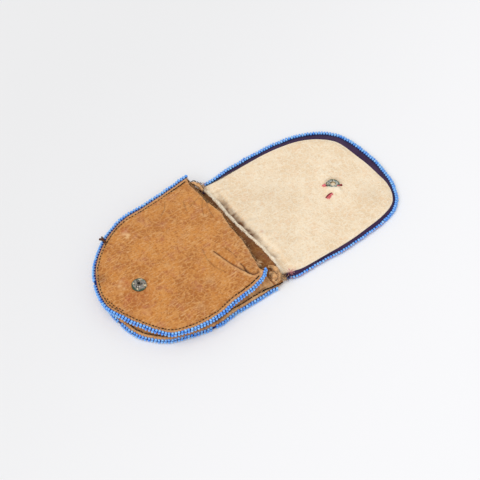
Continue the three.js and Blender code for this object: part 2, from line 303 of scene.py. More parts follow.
def make_sheet(name, outline, surface, thickness, material, spacing=0.9, folds=(), wear_and_shading=None):
    """A sheet of hide or cloth inside an outline, bent as surface says, with a rounded cut edge."""
    rng = np.random.default_rng(len(name))
    lo, hi = outline.min(0), outline.max(0)
    rows = np.arange(lo[1], hi[1], spacing * 0.866)
    across_steps = np.arange(lo[0], hi[0], spacing)
    grid = np.array([
        (x + (k % 2) * spacing / 2, y) for k, y in enumerate(rows) for x in across_steps
    ])
    grid += rng.uniform(-grid_unevenness, grid_unevenness, grid.shape) * spacing
    closed = np.vstack([outline, outline[:1]])
    lines = np.vstack([
        np.empty((0, 2)), *(inset(fold, away) for fold in folds for away in fold_rows),
    ])
    if folds:
        lines = lines[inside(lines, outline) & (nearest(lines, closed)[0] > edge_rings[-1])]
    for fold in folds:
        grid = grid[nearest(grid, fold)[0] > clear_of_fold]
    grid = grid[inside(grid, outline)]
    grid = grid[nearest(grid, closed)[0] > clear_of_edge]
    rings = np.vstack([inset(closed, away)[:-1] for away in edge_rings])
    rings = rings[inside(rings, outline) & (nearest(rings, closed)[0] > closest_to_edge)]
    flat = np.vstack([outline, rings, lines, grid])
    count = len(outline)
    edges = [(k, (k + 1) % count) for k in range(count)]
    flat, _, faces, *_ = delaunay_2d_cdt([Vector(p) for p in flat], edges, [], 1, 1e-5, False)
    flat = np.array([tuple(p) for p in flat])
    faces = np.array([list(f) for f in faces if len(f) == 3])
    middle = surface(flat)
    corners = middle[faces]
    facing = np.cross(corners[:, 1] - corners[:, 0], corners[:, 2] - corners[:, 0])
    normal = np.zeros_like(middle)
    for k in range(3):
        np.add.at(normal, faces[:, k], facing)
    normal /= np.linalg.norm(normal, axis=1)[:, None] + 1e-12
    if normal[:, 2].mean() < 0:
        normal = -normal
        faces = faces[:, ::-1]
    away = nearest(flat, closed)[0]
    on_edge = away < on_the_edge
    half = thickness / 2
    depth = half * np.sqrt(np.clip(1 - (1 - np.clip(away / half, 0, 1)) ** 2, 0, 1))
    top = middle + normal * depth[:, None]
    low = middle - normal * depth[:, None]
    below = np.where(on_edge, np.arange(len(flat)), -1)
    inner = np.flatnonzero(~on_edge)
    below[inner] = len(flat) + np.arange(len(inner))
    points = np.vstack([top, low[inner]])
    flat_points = np.hstack([flat, np.zeros((len(flat), 1))])
    rest = np.vstack([flat_points, flat_points[inner] - (0, 0, thickness)])
    all_faces = faces.tolist() + below[faces[:, ::-1]].tolist()
    marks = None
    if wear_and_shading is not None:
        marks = wear_and_shading(flat)
        marks = np.vstack([marks, marks[inner]])
    return make_piece(name, points, all_faces, material, rest, marks)


def piece_middle(node):
    """The middle of a node's box, in millimetres."""
    low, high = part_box(node)
    return (low + high) / 2 / MM


back_beads = smooth_line([
    (-47.5, -9.5), (-49.3, -20), (-50.1, -36), (-50.0, -51), (-48, -68), (-42, -83), (-33, -94),
    (-20, -102.8), (-8, -107.0), (1, -108.2), (14.7, -107.0), (24.2, -105.2), (31.4, -102.4),
    (36.8, -97.9), (42.1, -92.3), (46.4, -85.2), (51.0, -69.6), (53.0, -55), (52.1, -46.8),
    (51.7, -30.5), (51.4, -16.6), (51.6, -10.8),
])
hide_thickness = 1.1
rim_under_beads = 1.7
back_edge_height = piece_middle("back_bead_edging").z
body_middle = piece_middle("back_panel").x
body_half_width = 51.7
body_end_depth = 55.0
body_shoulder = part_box("back_bead_edging")[0].y / MM + body_end_depth
back_arch = 3.0
back_unevenness = 0.18
seam_pinch = 0.25
seam_line = smooth_line([
    (-47.5, -5.6), (-34.4, -4.0), (-25.4, -3.9), (-16.0, -4.1), (-6.6, -3.8), (3.1, -3.2),
    (11.8, -2.1), (21.4, -1.1), (29.3, -0.8), (36.7, -0.9), (42.6, -1.8), (49.2, -4.4),
])


def crown(flat, lean=0.0):
    """The body's arch, as a share of its full height: 1 along the middle and 0 at the edge. lean
    moves the middle to the right, in millimetres."""
    across = np.abs((flat[:, 0] - body_middle - lean) / body_half_width) ** 2.1
    along = (np.maximum(0, body_shoulder - flat[:, 1]) / body_end_depth) ** 2.1
    return np.maximum(0, 1 - (across + along) ** (2 / 2.1))


def back_height(flat):
    """How high the middle of the back's thickness is at each place."""
    level = back_edge_height + back_arch * crown(flat)
    level += back_unevenness * bumps(flat, 13, 3) * smooth(crown(flat), 0.02, 0.2)
    return level - seam_pinch * (1 - smooth(nearest(flat, back_beads)[0], 2.6, 4.4))


def back_surface(flat):
    return np.column_stack([flat, back_height(flat)])


rust_stain = "#B4493C"


def hide_material(name, base, deep, light, soil_and_shade, flush, vein):
    """Brain-tanned buckskin: no grain layer, so a matt nap of crossing fibres, with crinkles, rosy
    blotches, pale scuffs and dark soil. Its fibres are under 0.05 mm wide: they are drawn as tufts
    of 0.7 to 0.8 mm, and the crinkles 3.4 mm apart, so that they show. A piece's wear-and-shading
    colour lays on pale scuffs and painted highlights in red, dark soil and painted shade in green,
    and stains in blue."""
    material, nodes = new_material(name)
    rest = add_node(nodes, "ShaderNodeAttribute", attribute_name="rest").outputs["Vector"]
    wear_and_shading = add_node(nodes, "ShaderNodeAttribute", attribute_name="wear_and_shading")
    marks = add_node(nodes, "ShaderNodeSeparateColor", {0: wear_and_shading.outputs["Color"]})

    lumps = {}
    for lump, size, detail, roughness in (
        ("blotch", 24, 3.0, 0.5), ("rosy", 8.5, 3.0, 0.5), ("patch", 6, 4.0, 0.6),
        ("grain", 1.7, 3.0, 0.65), ("pore", 0.5, 2.0, 0.5),
    ):
        lumps[lump] = add_node(nodes, "ShaderNodeTexNoise", {
            "Vector": rest, "Scale": 1 / (size * MM), "Detail": detail, "Roughness": roughness,
        }).outputs[0]
    naps = []
    for turn, nap_width, nap_length in ((35, 0.75, 4.5), (-12, 0.7, 5.5), (-55, 0.8, 3.6)):
        laid = add_node(nodes, "ShaderNodeMapping", {
            "Vector": rest, "Rotation": (0, 0, math.radians(turn)),
            "Scale": (1 / (nap_width * MM), 1 / (nap_length * MM), 1 / (nap_width * MM)),
        })
        naps.append(add_node(nodes, "ShaderNodeTexNoise", {
            "Vector": laid.outputs[0], "Scale": 1.0, "Detail": 2.0, "Roughness": 0.55,
            "Distortion": 0.6,
        }).outputs[0])
    crossed = add_node(nodes, "ShaderNodeMath", {0: naps[0], 1: naps[1]}, operation="MAXIMUM")
    nap = add_node(nodes, "ShaderNodeMath", {0: crossed.outputs[0], 1: naps[2]}, operation="MAXIMUM")
    wander = add_node(nodes, "ShaderNodeTexNoise", {
        "Vector": rest, "Scale": 1 / (2.6 * MM), "Detail": 4.0,
    })
    crooked = add_node(nodes, "ShaderNodeVectorMath", {
        0: wander.outputs["Color"], 1: (4 * MM, 4 * MM, 0), 2: rest,
    }, operation="MULTIPLY_ADD")
    crinkles = add_node(nodes, "ShaderNodeTexVoronoi", {
        "Vector": crooked.outputs[0], "Scale": 1 / (3.4 * MM),
    }, feature="DISTANCE_TO_EDGE")
    crinkle = add_node(nodes, "ShaderNodeMapRange", {
        "Value": crinkles.outputs["Distance"], "From Min": 0.0, "From Max": 0.16,
        "To Min": 1.0, "To Max": 0.0,
    })
    raised = add_node(nodes, "ShaderNodeMath", {
        0: crinkle.outputs[0], 1: lumps["patch"],
    }, operation="MULTIPLY")
    colour = linear(base)
    for value, low, high, most, shade in (
        (lumps["blotch"], 0.40, 0.62, 0.75, deep),
        (lumps["rosy"], 0.50, 0.70, 0.65, flush),
        (lumps["patch"], 0.50, 0.70, 0.65, deep),
        (lumps["grain"], 0.52, 0.30, 0.85, deep),
        (raised.outputs[0], 0.12, 0.50, 0.65, vein),
        (nap.outputs[0], 0.57, 0.73, 0.62, light),
        (lumps["pore"], 0.45, 0.30, 0.35, deep),
    ):
        share = add_node(nodes, "ShaderNodeMapRange", {
            "Value": value, "From Min": low, "From Max": high, "To Max": most,
        }, interpolation_type="SMOOTHSTEP")
        colour = add_node(nodes, "ShaderNodeMix", {
            0: share.outputs[0], 6: colour, 7: linear(shade),
        }, data_type="RGBA").outputs[2]
    broken = add_node(nodes, "ShaderNodeMapRange", {
        "Value": lumps["grain"], "From Min": 0.35, "From Max": 0.6, "To Min": 0.55,
    })
    # Red lays on pale scuffs and painted highlights, green dark soil and painted shade, blue stains.
    for channel, shade in (("Red", light), ("Green", soil_and_shade), ("Blue", rust_stain)):
        share = add_node(nodes, "ShaderNodeMath", {
            0: marks.outputs[channel], 1: 1.0 if channel == "Green" else broken.outputs[0],
        }, operation="MULTIPLY", use_clamp=True)
        colour = add_node(nodes, "ShaderNodeMix", {
            0: share.outputs[0], 6: colour, 7: linear(shade),
        }, data_type="RGBA").outputs[2]
    relief = add_node(nodes, "ShaderNodeMath", {
        0: nap.outputs[0], 1: lumps["grain"],
    }, operation="ADD")
    relief = add_node(nodes, "ShaderNodeMath", {
        0: relief.outputs[0], 1: lumps["pore"],
    }, operation="ADD")
    relief = add_node(nodes, "ShaderNodeMath", {
        0: relief.outputs[0], 1: raised.outputs[0],
    }, operation="ADD")
    relief = add_node(nodes, "ShaderNodeBump", {
        "Height": relief.outputs[0], "Distance": 0.35 * MM, "Strength": 0.75,
    })
    surface = add_node(nodes, "ShaderNodeBsdfPrincipled", {
        "Base Color": colour, "Roughness": 0.95, "Specular IOR Level": 0.15,
        "Sheen Weight": 0.08, "Sheen Roughness": 0.6, "Normal": relief.outputs[0],
    })
    add_node(nodes, "ShaderNodeOutputMaterial", {"Surface": surface.outputs[0]})
    return material


tan_hide = hide_material(
    "smoked_buckskin", base="#D28C46", deep="#AC672F", light="#EFC08A", soil_and_shade="#4F2E1C",
    flush="#B97452", vein="#DFA05C")


def spot(flat, x, y, reach, strength=1.0):
    """A soft round mark."""
    return strength * np.exp(-((flat[:, 0] - x) ** 2 + (flat[:, 1] - y) ** 2) / reach ** 2)


def inside_soil_and_shade(flat):
    """The back's inside is painted dark, most of all at the left of the mouth: partly soil from
    handling, partly painted shade inside the pocket.
    """
    marks = np.zeros((len(flat), 4))
    marks[:, 1] = (0.74 + 0.16 * bumps(flat, 5, 8)) * smooth(nearest(flat, back_beads)[0], 4.5, 8)
    marks[:, 1] *= 1 - 0.30 * smooth(flat[:, 0], 12, 36)
    return marks


back_edge = inset(back_beads, rim_under_beads)
back_outline = np.vstack([back_edge, even_steps(seam_line[::-1], 0.6)])
back_panel = make_sheet(
    "back_hide", back_outline, back_surface, hide_thickness, tan_hide, wear_and_shading=inside_soil_and_shade)
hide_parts("back_panel")
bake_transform(back_panel)


# The front of the body
# The same hide, cut straight across for the mouth. It is limp and bulges over the pocket, with a
# deep crease and a rolled-over corner at the right end of the mouth where it is pulled most.
front_beads = smooth_line([
    (-56.0, -11.6), (-53.4, -26), (-50.6, -51), (-49.1, -67.0), (-43.4, -80.9), (-34.4, -93.1),
    (-22.5, -103.3), (-7.8, -109.2), (0.4, -110.6), (8.2, -110.0), (20.3, -105.0), (34.7, -97.0),
    (46.5, -86.9), (51.5, -72.0), (52.4, -54.6), (49.7, -41.2), (48.2, -27.7), (45.0, -16.4),
    (40.8, -10.9),
])
front_mouth = smooth_line([
    (38.2, -13.6), (36.4, -15.0), (33.4, -14.0), (29.5, -13.7), (26.0, -13.2), (20.0, -12.2),
    (13.3, -11.3), (6.8, -11.6), (0.2, -11.9), (-6.5, -11.0), (-13.2, -10.2), (-20.1, -11.2),
    (-27.8, -12.8), (-34.7, -12.7), (-41.5, -13.0), (-47.0, -13.0), (-53.4, -12.2),
], 0.6)
front_edge_height = piece_middle("front_bead_edging").z
front_dome = 2.5
corner_roll, roll_reach = 2.4, 9.5
mouth_lean = -8.0
front_sag = ((0.38, 17, 5), (0.16, 6, 6), (0.07, 2.8, 7))
mouth_raggedness = ((0.32, 2.4, 14), (0.16, 1.0, 15))
stitch_groove, stitch_swell = 0.38, 0.14
front_pinch, mouth_sink = 0.3, 0.5
front_mouth[3:-3, 1] += unevenness(front_mouth, mouth_raggedness)[3:-3]
long_crease = smooth_line([
    (10.3, -31.7), (18.5, -29.5), (24.0, -28.0), (28.0, -26.6), (32.6, -24.6), (36.6, -22.2),
])
corner_crease = smooth_line([
    (29.0, -23.6), (32.4, -23.1), (35.6, -22.4), (38.2, -20.6), (38.9, -18.4), (38.6, -16.8),
])
upper_crease = smooth_line([(-43.7, -35.4), (-38.7, -38.4), (-35.0, -43.2)])
slant_crease = smooth_line([(-35.1, -25.6), (-31.5, -26.6), (-27.9, -27.8)])
fan_creases = [smooth_line(points) for points in (
    [(-30.5, -13.0), (-25.0, -17.5), (-18.5, -20.5)],
    [(-27.5, -12.5), (-20.5, -15.0), (-13.0, -16.2)],
    [(-34.0, -13.0), (-31.5, -19.0), (-29.5, -24.0)],
    [(5.0, -37.0), (13.0, -38.5), (21.0, -37.5), (27.0, -34.5)],
    [(12.0, -24.5), (17.5, -23.0), (22.5, -22.6)],
)]
# Each crease's line, depth, width, and how far the hide bulges beside it
creases = [
    (long_crease, 1.05, 0.55, 1.25),
    (corner_crease, 1.3, 0.55, 1.5),
    (upper_crease, 0.28, 0.5, 0.15),
    (slant_crease, 0.26, 0.5, 0.12),
    *((line, 0.20, 0.55, 0.10) for line in fan_creases),
]


def pressed_crease(flat, line, depth, width, bulge):
    """A sharp groove that fades in from its start, with the hide bulging on its mouth side."""
    distance, travel, side = nearest(flat, line)
    length = np.linalg.norm(np.diff(line, axis=0), axis=1).sum()
    fade = smooth(travel, 0, 0.6 * length)
    groove = depth * (0.35 + 0.65 * fade) * bell(distance, width)
    beyond = np.exp(-distance / 4.5) * smooth(distance, 0, 1.3)
    ends = smooth(travel, 0, 3) * (1 - smooth(travel, length - 1.0, length) * 0.3)
    return np.where(side > 0, bulge * beyond * fade * ends, 0.0) - groove


stitch_shares = (0, 0.12, 0.27, 0.45, 0.58, 0.74, 0.92, 1)
stitch_insets = (4.4, 4.2, 3.7, 3.5, 4.2, 4.6, 4.9, 3.8)
front_travel = np.linspace(0, 1, len(front_beads))
front_stitch_line = inset(
    front_beads, np.interp(front_travel, stitch_shares, stitch_insets)[:, None])[6:-7]


def front_height(flat):
    """How high the middle of the front's thickness is at each place."""
    lean = mouth_lean * np.maximum(0, 1 + (flat[:, 1] + 5) / 50) ** 2
    sewn = nearest(flat, front_beads)[0]
    roll = corner_roll * spot(flat, 32.0, -20.0, roll_reach)
    level = front_edge_height + (front_dome + roll) * crown(flat, lean) * smooth(sewn, 3, 14)
    loose = smooth(sewn, 4, 12)
    level += loose * unevenness(flat, front_sag)
    stitched = nearest(flat, front_stitch_line)[0]
    level -= stitch_groove * bell(stitched, 0.75)
    level += stitch_swell * bell(stitched - 1.3, 0.6) * (1 + bumps(flat, 1.8, 11))
    level -= front_pinch * (1 - smooth(sewn, 1.6, 3.2))
    for line, depth, width, bulge in creases:
        level += pressed_crease(flat, line, depth, width, bulge)
    mouth = nearest(flat, front_mouth)[0]
    near_corner = bell(np.hypot(flat[:, 0] - 31, flat[:, 1] + 18), 9)
    level += 0.30 * near_corner * bumps(flat * (1, 1.4), 2.4, 12)
    level -= mouth_sink * np.exp(-mouth / 2.0) * loose
    return level


def front_surface(flat):
    return np.column_stack([flat, front_height(flat)])


def front_marks(flat):
    """Where the front is scuffed pale, soiled dark and stained, with painted shade in its creases and
    along its stitch groove, and a painted highlight beside its two main creases.
    """
    marks = np.zeros((len(flat), 4))
    sewn = nearest(flat, front_beads)[0]
    mouth = nearest(flat, front_mouth)[0]
    scuffs = (
        (-36.1, -71.4, 1.3, 1.9), (-33.6, -70.0, 1.2, 1.9), (-31.9, -71.6, 1.0, 1.8),
        (-37.2, -69.6, 0.9, 1.2), (-17.2, -20.3, 1.2, 0.9), (-19.5, -21.5, 0.9, 0.8),
        (-2, -95, 1.3, 0.9), (1.5, -93.5, 1.0, 0.9), (-4.5, -92.5, 1.1, 0.8), (3.5, -97, 0.9, 0.8),
        (27, -46, 3.0, 0.4), (39, -61, 2.6, 0.4), (2, -62, 2.2, 0.3), (-12, -40, 2.5, 0.25),
    )
    for x, y, reach, strength in scuffs:
        marks[:, 0] += spot(flat, x, y, reach, strength)
    marks[:, 0] += 0.55 * bell(sewn - 3.1, 0.8)
    marks[:, 0] += 0.6 * np.exp(-mouth / 0.7)
    rubbed = smooth(bumps(flat * (1, 0.6), 1.1, 13), -0.1, 0.9)
    marks[:, 0] += 0.75 * rubbed * bell(mouth, 5.5) * smooth(flat[:, 0], -22, 8)
    # Painted shade down all the creases, most in the two main ones, and a painted highlight beside the
    # two main ones, on the side away from the mouth.
    for line, *_ in creases[:2]:
        distance, _, side = nearest(flat, line)
        marks[:, 1] += 1.1 * bell(distance, 0.55)
        marks[:, 0] += np.where(side < 0, 0.6 * bell(distance - 1.4, 0.7), 0)
    for line, *_ in creases[2:]:
        marks[:, 1] += 0.34 * bell(nearest(flat, line)[0], 0.5)
    # Painted shade along the stitch groove, most on the left.
    stitched = nearest(flat, front_stitch_line)[0]
    on_left = smooth(-flat[:, 0], 34, 40) * smooth(-flat[:, 1], 62, 74)
    marks[:, 1] += (0.30 + 0.45 * on_left) * bell(stitched, 0.7)
    marks[:, 1] += spot(flat, 24, -102, 1.0, 0.4) + spot(flat, -14, -101, 3.5, 0.35)
    marks[:, 2] = spot(flat, -37.4, -70.2, 2.6, 0.5) + spot(flat, 12, -88, 8, 0.20)
    marks[:, 2] += spot(flat, -1, -91, 3.0, 0.25) + spot(flat, 9, -95, 2.5, 0.3)
    return np.clip(marks, 0, 1)


front_edge = inset(front_beads, rim_under_beads)
front_outline = np.vstack([even_steps(front_edge, 0.6), front_mouth])
front_panel = make_sheet(
    "front_hide", front_outline, front_surface, hide_thickness, tan_hide,
    folds=[line for line, *_ in creases], wear_and_shading=front_marks)
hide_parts("front_panel")
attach(front_panel, "pouch")


# The gusset
# A narrow strip of the same hide between front and back, folded inward along its middle and sewn to
# both, which lets the pocket open. It shows along the right side and round the bottom.
gusset_rows, gusset_steps = 12, 420
gusset_thickness = 0.7
gusset_length = 290


def along(line, shares):
    """Points at given shares of a line's length."""
    travel = np.concatenate([[0], np.cumsum(np.linalg.norm(np.diff(line, axis=0), axis=1))])
    where = np.asarray(shares) * travel[-1]
    return np.stack([np.interp(where, travel, line[:, k]) for k in range(line.shape[1])], 1)


def sweep(name, sections, material, wear_and_shading=None):
    """A closed skin over like sections. Each is a strip: up one side and back down the other."""
    sections = np.asarray(sections)
    count = sections.shape[1]
    faces = []
    for s in range(len(sections) - 1):
        for k in range(count):
            a, b = s * count + k, s * count + (k + 1) % count
            faces.append((a, b, b + count, a + count))
    last = (len(sections) - 1) * count
    for k in range(count // 2 - 1):
        across = (k, count - 1 - k, count - 2 - k, k + 1)
        faces += [across, tuple(last + corner for corner in across[::-1])]
    return make_piece(name, sections.reshape(-1, 3), faces, material, wear_and_shading=wear_and_shading)


def strip_ring(profile, thickness):
    """A thin closed ring round an open profile of points in a cross-section."""
    profile = np.asarray(profile)
    run = np.gradient(profile, axis=0)
    run /= np.linalg.norm(run, axis=1)[:, None]
    normal = np.stack([-run[:, 1], run[:, 0]], 1)
    return np.vstack([profile + normal * thickness / 2, (profile - normal * thickness / 2)[::-1]])


gusset_shares = np.linspace(0.0, 1.0, gusset_steps)
front_run = along(front_beads, gusset_shares)
front_in = inward(front_run)
back_run = along(back_beads, gusset_shares)
back_in = inward(back_run)
gusset_noise = np.column_stack([gusset_shares * gusset_length, np.zeros(gusset_steps)])
wave = unevenness(gusset_noise, ((1, 7, 21), (0.6, 2.6, 22)))
pucker = bumps(gusset_noise + 40, 1.6, 23)
drop = front_edge_height - back_edge_height
thread_inset = np.interp(gusset_shares, (0, 0.86, 0.955, 0.985, 1), (3.9, 3.9, 3.6, 2.6, 2.3))
thread_rise = 1.75
gusset_sections, gusset_light_and_shade = [], []
for i in range(gusset_steps):
    fold = 1 - 0.62 * smooth(gusset_shares[i], 0.80, 0.93)
    cross_fold = 0.45 * bumps(gusset_noise + 90, 1.25, 24)[i] * (1 - fold)
    # How far in from the beads' line, and how far above the back's edge, each point of the fold is
    points = [
        (2.0, drop - 0.7), (2.8, drop - 1.5),
        (3.2 + fold * (1.4 + 0.3 * wave[i]) + cross_fold, 0.74 * drop),
        (3.9 + fold * (2.7 + 0.5 * wave[i]) + cross_fold, 0.55 * drop),
        (4.3 + fold * (1.9 + 0.4 * wave[i]) + cross_fold, 0.33 * drop),
        (4.6 + 0.4 * fold, 2.15 + 0.2 * wave[i]),
        (thread_inset[i], thread_rise + 0.1 * pucker[i]),
        (min(2.9, thread_inset[i] - 0.5), 1.55 + 0.15 * pucker[i]), (1.7, 0.8),
    ]
    profile = along(smooth_line(points, 0.6), np.linspace(0, 1, gusset_rows))
    ring = strip_ring(profile, gusset_thickness)
    levels = np.clip(1 - ring[:, 1] / drop, 0, 1)[:, None]
    flat_place = (1 - levels) * (front_run[i] + front_in[i] * ring[:, :1])
    flat_place = flat_place + levels * (back_run[i] + back_in[i] * ring[:, :1])
    gusset_sections.append(np.column_stack([flat_place, ring[:, 1] + back_edge_height]))
    marks = np.zeros((len(ring), 4))
    # Painted light on the lower strip, which faces up, and on the unfolded end near the mouth; painted
    # shade deep in the fold and in the hollows of the cross folds; darker along the thread line.
    lit = 0.75 * (1 - smooth(ring[:, 1], 2.0, 3.2)) + 1.1 * (1 - fold)
    marks[:, 0] = lit * (0.7 + 0.3 * pucker[i] + 1.2 * cross_fold)
    marks[:, 1] = 0.8 * bell(ring[:, 0] - thread_inset[i], 0.5) * (ring[:, 1] < 3)
    marks[:, 1] += max(0, -1.6 * cross_fold) * (ring[:, 1] > 2.4)
    marks[:, 1] += 0.45 * smooth(ring[:, 0], 4.4, 5.6) * fold
    gusset_light_and_shade.append(np.clip(marks, 0, 1))
gusset = sweep("gusset_strip", gusset_sections, tan_hide, wear_and_shading=np.vstack(gusset_light_and_shade))
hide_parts("gusset")
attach(gusset, "pouch")


# The gusset's ends
# At both corners of the mouth the spare end of the strip is rolled up, whipped down with black
# thread and left as a raw, hairy curl.
def swept(line, profiles):
    """Cross-sections along a line in space: each profile lies across it, its second axis upwards."""
    run = np.gradient(line, axis=0)
    run /= np.linalg.norm(run, axis=1)[:, None]
    side = np.cross(run, (0, 0, 1.0))
    side /= np.linalg.norm(side, axis=1)[:, None]
    over = np.cross(side, run)
    return [
        place + profile[:, :1] * side[k] + profile[:, 1:] * over[k]
        for k, (place, profile) in enumerate(zip(line, profiles))
    ]


curl_step, curl_turns, curl_rows, curl_thickness = 0.35, 1.35, 30, 0.5
corner_curls = {
    "gusset_curl_right": [
        (35.6, -6.4, 5.0), (38.0, -4.8, 5.9), (41.6, -4.2, 5.6), (45.2, -5.0, 4.5),
        (47.6, -7.2, 3.9), (47.9, -10.0, 3.9),
    ],
    "gusset_curl_inner": [
        (39.8, -8.6, 4.2), (41.6, -7.6, 4.8), (43.6, -7.4, 4.8), (45.4, -8.6, 4.2), (45.8, -10.4, 3.7),
    ],
    "gusset_curl_left": [
        (-40.4, -7.2, 7.0), (-43.2, -7.6, 8.2), (-46.2, -8.8, 9.0), (-48.4, -10.8, 9.2),
    ],
}
for curl_name, curl_points in corner_curls.items():
    curl_line = smooth_line(curl_points, curl_step)
    count = len(curl_line)
    thicker = 1.25 if curl_name == "gusset_curl_inner" else 1.0
    turns = np.linspace(0.4, 2 * math.pi * curl_turns, curl_rows)
    profiles = []
    for k in range(count):
        place = np.array([[k * curl_step, 0.0]])
        swell = 1.05 + 0.36 * bumps(place, 1.7, 61)[0] - 0.4 * abs(2 * k / count - 1) ** 3
        swell *= thicker
        spiral = (0.35 + 1.05 * turns / turns[-1]) * swell
        twist = 0.5 * bumps(place, 3.1, 62)[0]
        rough = 0.22 * bumps(np.column_stack([turns * 2, np.full(curl_rows, k * curl_step)]), 0.9, 63)
        profile = np.column_stack([
            (spiral + rough) * np.cos(turns + twist), (spiral + rough) * np.sin(turns + twist),
        ])
        profiles.append(strip_ring(profile, curl_thickness))
    sections = swept(curl_line, profiles)
    curl_wear = np.zeros((count * len(profiles[0]), 4))
    curl_wear[:, 0] = 0.9 + 0.4 * bumps(np.vstack(sections)[:, :2], 1.2, 64)
    curl_wear[:, 1] = 0.45 * smooth(bumps(np.vstack(sections)[:, :2], 1.5, 65), 0.2, 0.7)
    curl = sweep(curl_name, sections, tan_hide, wear_and_shading=np.clip(curl_wear, 0, 1))
    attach(curl, "pouch")


# The flap's outside
# Dark purple cotton cloth, cut a little wider than the lining, so that a narrow margin of it shows
# inside the beads all round. Its root is sewn in under the back's edge. What its outside carries is
# not known, so it is left plain.
flap_beads = smooth_line([
    (48.8, -0.6), (50.7, 3.0), (51.9, 8.0), (51.8, 15.0), (51.9, 27.8), (53.0, 43.3), (52.1, 56.3),
    (51.4, 67.0), (50.2, 78.2), (48.5, 85.7), (45.8, 93.4), (41.4, 99.4), (34.6, 104.8),
    (25.3, 108.8), (14.8, 110.9), (3.4, 111.7), (-8.3, 111.0), (-20.4, 109.0), (-30.5, 105.0),
    (-39.9, 97.1), (-46.0, 85.7), (-49.4, 74.0), (-51.3, 60.0), (-51.8, 44.0), (-50.7, 17.1),
    (-48.8, 6.8), (-48.4, -1.0),
])
cloth_thickness = 0.7
flap_edge_height = piece_middle("flap_bead_edging").z
lining_level = 3.0
lining_edge_level = 2.35
lining_waves = ((0.24, 19, 31), (0.12, 6, 32))
cloth_waves = ((0.1, 7, 35), (0.06, 2.2, 38))
seam_wander = ((0.42, 5.5, 34), (0.34, 1.8, 45))
cloth_below_lining, cloth_below_ridge = 1.15, 0.9
crest_rise = 1.1
ridge_top = smooth_line([
    (-47.6, -5.0), (-41.8, -4.2), (-34.4, -3.5), (-25.4, -3.6), (-16.0, -3.9), (-6.6, -3.5),
    (3.1, -2.9), (11.8, -1.8), (21.4, -0.7), (29.3, -0.3), (36.7, -0.4), (42.6, -1.0), (47.6, -1.8),
])
lining_edge = smooth_line([
    (44.6, -0.6), (45.8, 4.0), (47.2, 9.0), (48.0, 16.0), (48.2, 30.0), (48.4, 43.4), (48.0, 56.0),
    (46.9, 66.8), (45.7, 77.6), (44.2, 85.1), (42.2, 91.4), (38.8, 96.9), (32.1, 101.4),
    (23.7, 103.8), (13.8, 103.9), (3.3, 103.7), (-7.4, 102.4), (-18.5, 101.0), (-26.5, 98.4),
    (-33.6, 92.0), (-39.3, 83.2), (-43.0, 73.0), (-45.2, 60.0), (-46.0, 44.0), (-45.0, 18.0),
    (-44.8, 7.0), (-45.6, -4.2),
], 0.6)


def behind_ridge(flat):
    """How far behind the ridge a place is; in front of the ridge it is negative."""
    distance, _, side = nearest(flat, ridge_top)
    wander = unevenness(flat * (1, 0.15), seam_wander)
    return distance * np.where(side > 0, 1, -1) + wander * smooth(distance, 3.5, 1.0)


def seam_pleats(flat, behind):
    """Small pleats that run back from the seam at a slant, from -1 to 1, and how far they carry."""
    pleats = bumps(flat @ ((1.0, 0.0), (-0.25, 0.22)), 2.3, 47)
    return pleats, smooth(behind, 0.8, 2.5) * np.exp(-np.maximum(behind, 0) / 6.5)


def ridge_profile(flat):
    """How far the flap's root stands above the flap: a thin ridge at the seam, which follows the
    back that it is sewn to, a valley behind it, and the lining puffed up beyond the valley."""
    behind = behind_ridge(flat)
    on_seam = np.column_stack([flat[:, 0], np.full(len(flat), -6.0)])
    crest = back_edge_height + back_arch * crown(on_seam) + crest_rise - lining_level
    crest += 0.35 * bumps(flat * (1, 0.4), 4.5, 36) + 0.42 * bumps(flat * (1, 0.6), 1.4, 37)
    width = np.where(behind > 0, 1.25, 1.4) * (1 + 0.2 * bumps(flat * (1, 0.3), 2.6, 48))
    ridge = crest * bell(np.abs(behind), width)
    hollow = np.exp(-(np.abs(flat[:, 0] + 14) / 23) ** 4)
    valley = -(0.35 + 0.75 * hollow) * bell(behind - 3.2, 1.3)
    valley -= (0.2 + 0.35 * hollow) * bell(behind - 6.2, 1.8)
    climb = 0.9 * np.exp(-np.maximum(behind - 8, 0) / 9) * smooth(behind, 3.6, 8.5)
    pleats, carry = seam_pleats(flat, behind)
    return ridge + valley + climb + 0.42 * pleats * carry


socket_middle = piece_middle("snap_socket")


def around_socket(flat):
    """How far each place is from the socket's middle, towards its drawn-up side and beside it."""
    away = flat - np.array(socket_middle)[:2]
    return np.hypot(*away.T), away @ (0.819, -0.574), away @ (0.574, 0.819)


def socket_pucker(flat):
    """The lining drawn up over one side of the snap's socket by its thread, with small pleats."""
    distance, towards, beside = around_socket(flat)
    lip = 1.75 * bell(towards - 4.0, 2.5) * np.exp(-(beside / 5.6) ** 4)
    pleats = 0.22 * np.cos(9 * np.arctan2(beside, towards)) * bell(distance - 6.6, 1.7)
    far_lip = 0.5 * bell(distance - 6.0, 1.2) * (towards < 0)
    return lip + pleats + far_lip


def lining_surface(flat):
    """The middle of the lining's thickness, which rises from its sewn edge."""
    inside_edge = smooth(nearest(flat, lining_edge)[0], 0, 4)
    level = lining_edge_level + (lining_level - lining_edge_level) * inside_edge
    level += ridge_profile(flat) * smooth(nearest(flat, lining_edge)[0], 0.0, 1.5)
    level += inside_edge * unevenness(flat, lining_waves)
    level += 0.05 * bumps(flat, 2.4, 33) + socket_pucker(flat)
    return np.column_stack([flat, level])


def cover_surface(flat):
    """The middle of the cloth's thickness, close under the lining and free of the paper."""
    at_edge = 1 - smooth(nearest(flat, flap_beads)[0], 2.2, 6.5)
    under_lining = lining_level + ridge_profile(flat) - cloth_below_lining
    under_lining -= cloth_below_ridge * smooth(-behind_ridge(flat), -2.8, -1.2)
    under_lining += unevenness(flat, lining_waves)
    level = under_lining + (flap_edge_height + 0.1 - under_lining) * at_edge
    level += unevenness(flat, cloth_waves) - 0.3 * at_edge
    return np.column_stack([flat, np.maximum(level, cloth_thickness / 2 + 0.05)])


